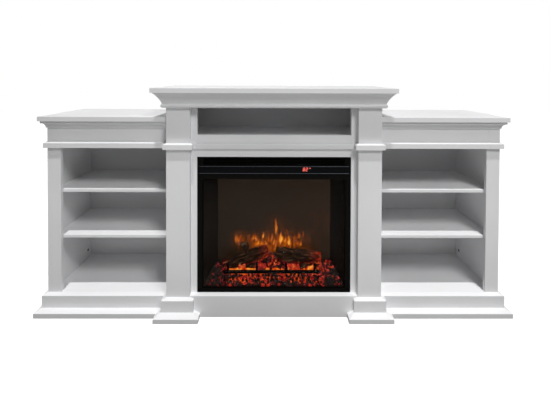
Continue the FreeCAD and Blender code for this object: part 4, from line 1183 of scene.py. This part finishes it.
@dataclass
class Fasteners:
    """Cross-head screws that hold the three backs."""

    head_mm: float = 3.6  # radius
    height_mm: float = 1.6
    crown_share: float = 0.62  # of the head's radius
    cross_share: float = 0.95  # length of a slot, of the head's radius
    sides: int = 14
    recess_mm: float = 0.9
    pitch_mm: float = 150.0
    edge_mm: float = 12.0
    backs: tuple[str, ...] = ("back_panel_left", "back_panel_right", "media_back")

    def tree(self) -> bpy.types.NodeTree:
        """Build the tree that sets a cross-head on each point, facing backwards.

        Returns:
            The tree.
        """
        tree, ask = new_tree("screw_heads", {"Radius": "NodeSocketFloat", "Height": "NodeSocketFloat",
                                             "Recess": "NodeSocketFloat", "Finish": "NodeSocketMaterial"})
        crown = add_node(tree, "ShaderNodeMath", {0: ask["Radius"]}, {1: self.crown_share},
                         operation="MULTIPLY")
        cone = add_node(tree, "GeometryNodeMeshCone",
                        {"Radius Top": crown.outputs["Value"], "Radius Bottom": ask["Radius"],
                         "Depth": ask["Height"]}, {"Vertices": self.sides})
        long = add_node(tree, "ShaderNodeMath", {0: ask["Radius"]}, {1: self.cross_share},
                        operation="MULTIPLY")
        lift = add_node(tree, "ShaderNodeCombineXYZ", {"Z": ask["Height"]})
        head = add_node(tree, "GeometryNodeMeshBoolean", {"Mesh 1": cone.outputs["Mesh"]},
                        operation="DIFFERENCE")
        for first, second in (("X", "Y"), ("Y", "X")):
            size = add_node(tree, "ShaderNodeCombineXYZ",
                            {first: long.outputs["Value"], second: ask["Recess"], "Z": ask["Height"]})
            slot = add_node(tree, "GeometryNodeMeshCube", {"Size": size.outputs["Vector"]})
            raised = add_node(tree, "GeometryNodeTransform",
                              {"Geometry": slot.outputs["Mesh"], "Translation": lift.outputs["Vector"]})
            connect(tree, head, {"Mesh 2": raised.outputs["Geometry"]})
        screws = add_node(tree, "GeometryNodeInstanceOnPoints",
                          {"Points": ask["Geometry"], "Instance": head.outputs["Mesh"]},
                          {"Rotation": Euler((-math.pi / 2, 0, 0))})
        end_tree(tree, screws.outputs["Instances"], ask["Finish"])
        return tree

    def round_edge(self, node: str) -> list[Vector]:
        """Give even places along a panel's edge, on its back face.

        Args:
            node: The panel.

        Returns:
            Places in metres.
        """
        low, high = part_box(node)
        inset = self.edge_mm * MM
        left, right, foot, top = low.x + inset, high.x - inset, low.z + inset, high.z - inset
        wide = max(1, round((right - left) / (self.pitch_mm * MM)))
        tall = max(1, round((top - foot) / (self.pitch_mm * MM)))
        spots = [Vector((left + (right - left) * k / wide, high.y, z))
                 for k in range(wide + 1) for z in (foot, top)]
        spots += [Vector((x, high.y, foot + (top - foot) * k / tall))
                  for k in range(1, tall) for x in (left, right)]
        return spots

    def build(self, finish: bpy.types.Material) -> None:
        """Set the screws of the three backs.

        Args:
            finish: Material of the screws.
        """
        spots = [spot for node in self.backs for spot in self.round_edge(node)]
        sizes = {"Radius": self.head_mm * MM, "Height": self.height_mm * MM, "Recess": self.recess_mm * MM,
                 "Finish": finish}
        adopt(grow("back_screws", spots, [], self.tree(), sizes), "pin_metal")


@dataclass
class BoreSleeves:
    """Black flanged sleeves pressed into the fixing holes of the two outer panels; their black also paints
    the shade inside the holes.
    """

    back_mm: float = 40.0  # hole's middle in front of the panel's back
    lift_mm: float = 34.0  # hole's middle above the deck
    # radius and depth into the panel, once round the wall of the cup
    profile_mm: tuple[Pair, ...] = (
        (0.6, 8.6), (4.2, 8.6), (4.2, -0.2), (4.6, -0.5), (5.9, -0.2), (5.9, 0.0), (4.9, 0.0), (4.9, 9.6),
        (0.6, 9.6))
    around: int = 24

    def build(self, finish: bpy.types.Material) -> None:
        """Turn one sleeve for each panel.

        Args:
            finish: Material of the sleeves.
        """
        points, faces = [], []
        rings = len(self.profile_mm)
        angles = [math.tau * k / self.around for k in range(self.around)]
        for side, inner, outwards in (("left", 1, -1), ("right", 0, 1)):
            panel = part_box(f"outer_panel_{side}")
            deck_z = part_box(f"deck_{side}")[1].z
            middle = Vector((panel[inner].x, panel[1].y - self.back_mm * MM, deck_z + self.lift_mm * MM))
            first = len(points)
            for radius, depth in self.profile_mm:
                points += [middle + Vector((outwards * depth, radius * math.cos(angle),
                                            radius * math.sin(angle))) * MM for angle in angles]
            for row in range(rings):
                here = first + row * self.around
                there = first + (row + 1) % rings * self.around
                faces += strip_faces(here, there, self.around)
        adopt(new_piece("bore_sleeves_painted_shade", points, faces, finish, smooth=False), "fan_plastic")


@dataclass(frozen=True)
class FarLight:
    """Far soft light: its height above the horizon, its turn from the front to the right, its strength."""

    name: str
    elevation_deg: float
    azimuth_deg: float
    strength: float  # watts for each square metre
    softness_deg: float  # angle that it fills in the sky

    def hang(self) -> None:
        """Add the light."""
        data = bpy.data.lights.new(self.name, "SUN")
        data.energy = self.strength
        data.angle = math.radians(self.softness_deg)
        light = bpy.data.objects.new(self.name, data)
        light.rotation_euler = (math.radians(90 - self.elevation_deg), 0, math.radians(self.azimuth_deg))
        bpy.context.scene.collection.objects.link(light)


@dataclass(frozen=True)
class Softbox:
    """Oblong soft light near the stand: its place, target and size in metres, and its power in watts."""

    name: str
    place: Place
    target: Place
    size: Pair
    power: float

    def hang(self) -> None:
        """Add the light."""
        data = bpy.data.lights.new(self.name, "AREA")
        data.shape = "RECTANGLE"
        data.size, data.size_y = self.size
        data.energy = self.power
        light = bpy.data.objects.new(self.name, data)
        light.location = self.place
        light.rotation_euler = (Vector(self.target) - Vector(self.place)).to_track_quat("-Z", "Y").to_euler()
        bpy.context.scene.collection.objects.link(light)


@dataclass
class Studio:
    """Floor, lights and camera."""

    focal_px: float = 374.0
    image_px: Pair = (550.0, 412.0)
    axis_px: Pair = (276.2, 83.4)
    sensor_mm: float = 36.0
    camera_at_mm: Place = (0.0, -1569.0, 915.0)
    pitch_deg: float = 0.89
    yaw_deg: float = -0.27
    roll_deg: float = 0.19
    white: str = "ffffff"
    ambient: float = 0.09
    floor_half_m: float = 8.0
    floor_lift: float = 0.35  # keeps the floor as white as the backdrop
    # nearly white, with hardly any shine
    floor_coat: GrainedCoat = GrainedCoat("pale_floor_paint", "f6f6f6", "f2f2f2", 0.8, 12.0)
    lights: tuple[FarLight | Softbox, ...] = (
        FarLight("overhead_key", 76.0, 4.0, 1.9, 3.0),
        Softbox("front_fill", (1.3, -2.7, 3.5), (0.0, -0.1, 0.45), (1.1, 1.1), 70.0),
        Softbox("floor_bounce", (0.0, -0.9, 0.03), (0.0, -0.8, 1.0), (2.4, 0.8), 6.0),
        FarLight("back_fill", 40.0, 190.0, 0.7, 30.0))

    def camera(self) -> None:
        """Set the camera at the photograph's place and angle."""
        data = bpy.data.cameras.new("camera")
        data.sensor_width = self.sensor_mm
        wide, high = self.image_px
        data.lens = self.focal_px / wide * self.sensor_mm
        data.shift_x = (wide / 2 - self.axis_px[0]) / wide
        data.shift_y = (self.axis_px[1] - high / 2) / wide
        camera = bpy.data.objects.new("camera", data)
        camera.location = Vector(self.camera_at_mm) * MM
        turn = Euler((math.radians(90 - self.pitch_deg), 0, math.radians(self.yaw_deg))).to_matrix()
        roll = Matrix.Rotation(math.radians(self.roll_deg), 3, "Z")
        camera.rotation_euler = (turn @ roll).to_euler()
        bpy.context.scene.collection.objects.link(camera)
        bpy.context.scene.camera = camera

    def world(self) -> None:
        """Make a white backdrop that lights the stand only weakly."""
        world = bpy.data.worlds.new("studio")
        world.use_nodes = True
        tree = world.node_tree
        seen = add_node(tree, "ShaderNodeLightPath").outputs["Is Camera Ray"]
        level = add_node(tree, "ShaderNodeMapRange", {"Value": seen}, {"To Min": self.ambient, "To Max": 1.0})
        connect(tree, tree.nodes["Background"], {"Strength": level.outputs["Result"]},
                {"Color": linear(self.white)})
        bpy.context.scene.world = world

    def floor(self) -> None:
        """Lay the pale floor."""
        half = self.floor_half_m
        finish = self.floor_coat.make()
        corners = [(-half, -half, 0), (half, -half, 0), (half, half, 0), (-half, half, 0)]
        floor = new_piece("floor", corners, [(0, 1, 2, 3)], finish)
        connect(finish.node_tree, finish.node_tree.nodes["Principled BSDF"],
                values={"Emission Color": linear(self.white), "Emission Strength": self.floor_lift})
        floor.visible_diffuse = False  # a white floor would otherwise wash out the fronts from below

    def build(self) -> None:
        """Make the world, floor, lights and camera."""
        bpy.context.scene.view_settings.view_transform = "Standard"
        self.world()
        self.floor()
        for light in self.lights:
            light.hang()
        self.camera()


@dataclass
class Stand:
    """The whole stand: the finish of each carried-over node, and the pieces that are made here."""

    # finishes by the record's slot, and by name for the one node that differs from its slot
    coats: dict[str, Lacquer | GrainedCoat | FloatGlass | LitBed] = field(default_factory=lambda: {
        "painted_board": Lacquer(),
        # deep, dull black that hardly shines
        "black_metal": GrainedCoat("black_powder_coated_steel", "080706", "040403", 0.45, 1.5, specular=0.03),
        # cool grey metal with broad crystal patches, lighter and darker
        "casing_steel": GrainedCoat("galvanised_steel_sheet", "8b9093", "6f7477", 0.42, 14.0, 0.02, 1.0),
        "clear_glass": FloatGlass(),
        # warm brown black, lighter than the other black metal: painted glow of the fire on the chamber's
        # walls; flat and nearly without shine
        "chamber_liner": GrainedCoat("matt_enamelled_steel_liner_with_painted_fire_glow", "1f1812", "18130d", 0.6, 2.0,
                                     specular=0.03),
        # smooth, even black with a sharp but weak reflection
        "black_glass": GrainedCoat("black_back_painted_glass", "050709", "030405", 0.08, 30.0, 0.0,
                                   specular=0.03),
        "ember_resin": LitBed(),
        # clean, faintly mottled white with a slight sheen
        "lamp_board": GrainedCoat("white_circuit_board", "e4e7e2", "cfd4cf", 0.4, 3.0),
        # bright, nearly clear mirror with small ripples
        "reflector_foil": GrainedCoat("polished_aluminium_foil", "e6e6e8", "cfcfd3", 0.12, 4.0, 0.05, 1.0),
        # warm silver with soft reflections
        "pin_metal": GrainedCoat("nickel_plated_steel", "c9c6bf", "b1aea7", 0.25, 3.0, 0.02, 1.0),
        # greyish black with a fine tooth and a broad, soft shine
        "fan_plastic": GrainedCoat("black_glass_filled_nylon", "161617", "101011", 0.5, 1.2),
        # greyish black with a finer tooth and more shine
        "switch_plastic": GrainedCoat("black_moulded_abs", "1a1a1b", "131314", 0.35, 0.8)})
    # dark grey metal trim, lighter than the glass, that paints the edges' highlight as a slim lighter line on
    # the black glass
    trim: GrainedCoat = GrainedCoat("brushed_dark_aluminium_painted_highlight", "4a4d52", "3b3e42", 0.35, 5.0, 0.02, 1.0)

    def dress(self, finishes: dict[str, bpy.types.Material]) -> None:
        """Give every carried-over node its finish.

        Args:
            finishes: Materials by slot, and by name for the one node that differs from its slot.
        """
        slots = {entry["node"]: entry["material_slot"] for entry in frame["record"]["subparts"]}
        for name, node in frame["nodes"].items():
            # the plain screen and logs have no coat of their own, as shaped pieces stand for them
            finish = finishes.get(name) or finishes.get(slots[name], finishes["black_metal"])
            node.data.materials.clear()
            node.data.materials.append(finish)
            LOG.info("%s: %s", name, finish.name)

    def build(self) -> None:
        """Dress the nodes and make the pieces of the insert, the screws and the sleeves."""
        finishes = {slot: coat.make() for slot, coat in self.coats.items()}
        self.dress(finishes)
        FlameScreen().build(FlameFilm().make())
        EmberBed().build(GlowingCoal().make())
        LogPile().build(CharredBark().make())
        TemperatureDisplay().build(self.trim.make())
        Fasteners().build(finishes["pin_metal"])
        BoreSleeves().build(finishes["fan_plastic"])


def main() -> None:
    """Build and dress the stand in order."""
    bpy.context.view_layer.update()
    Studio().build()
    Stand().build()


if __name__ == "__main__":
    logging.basicConfig(level=logging.INFO)
    main()
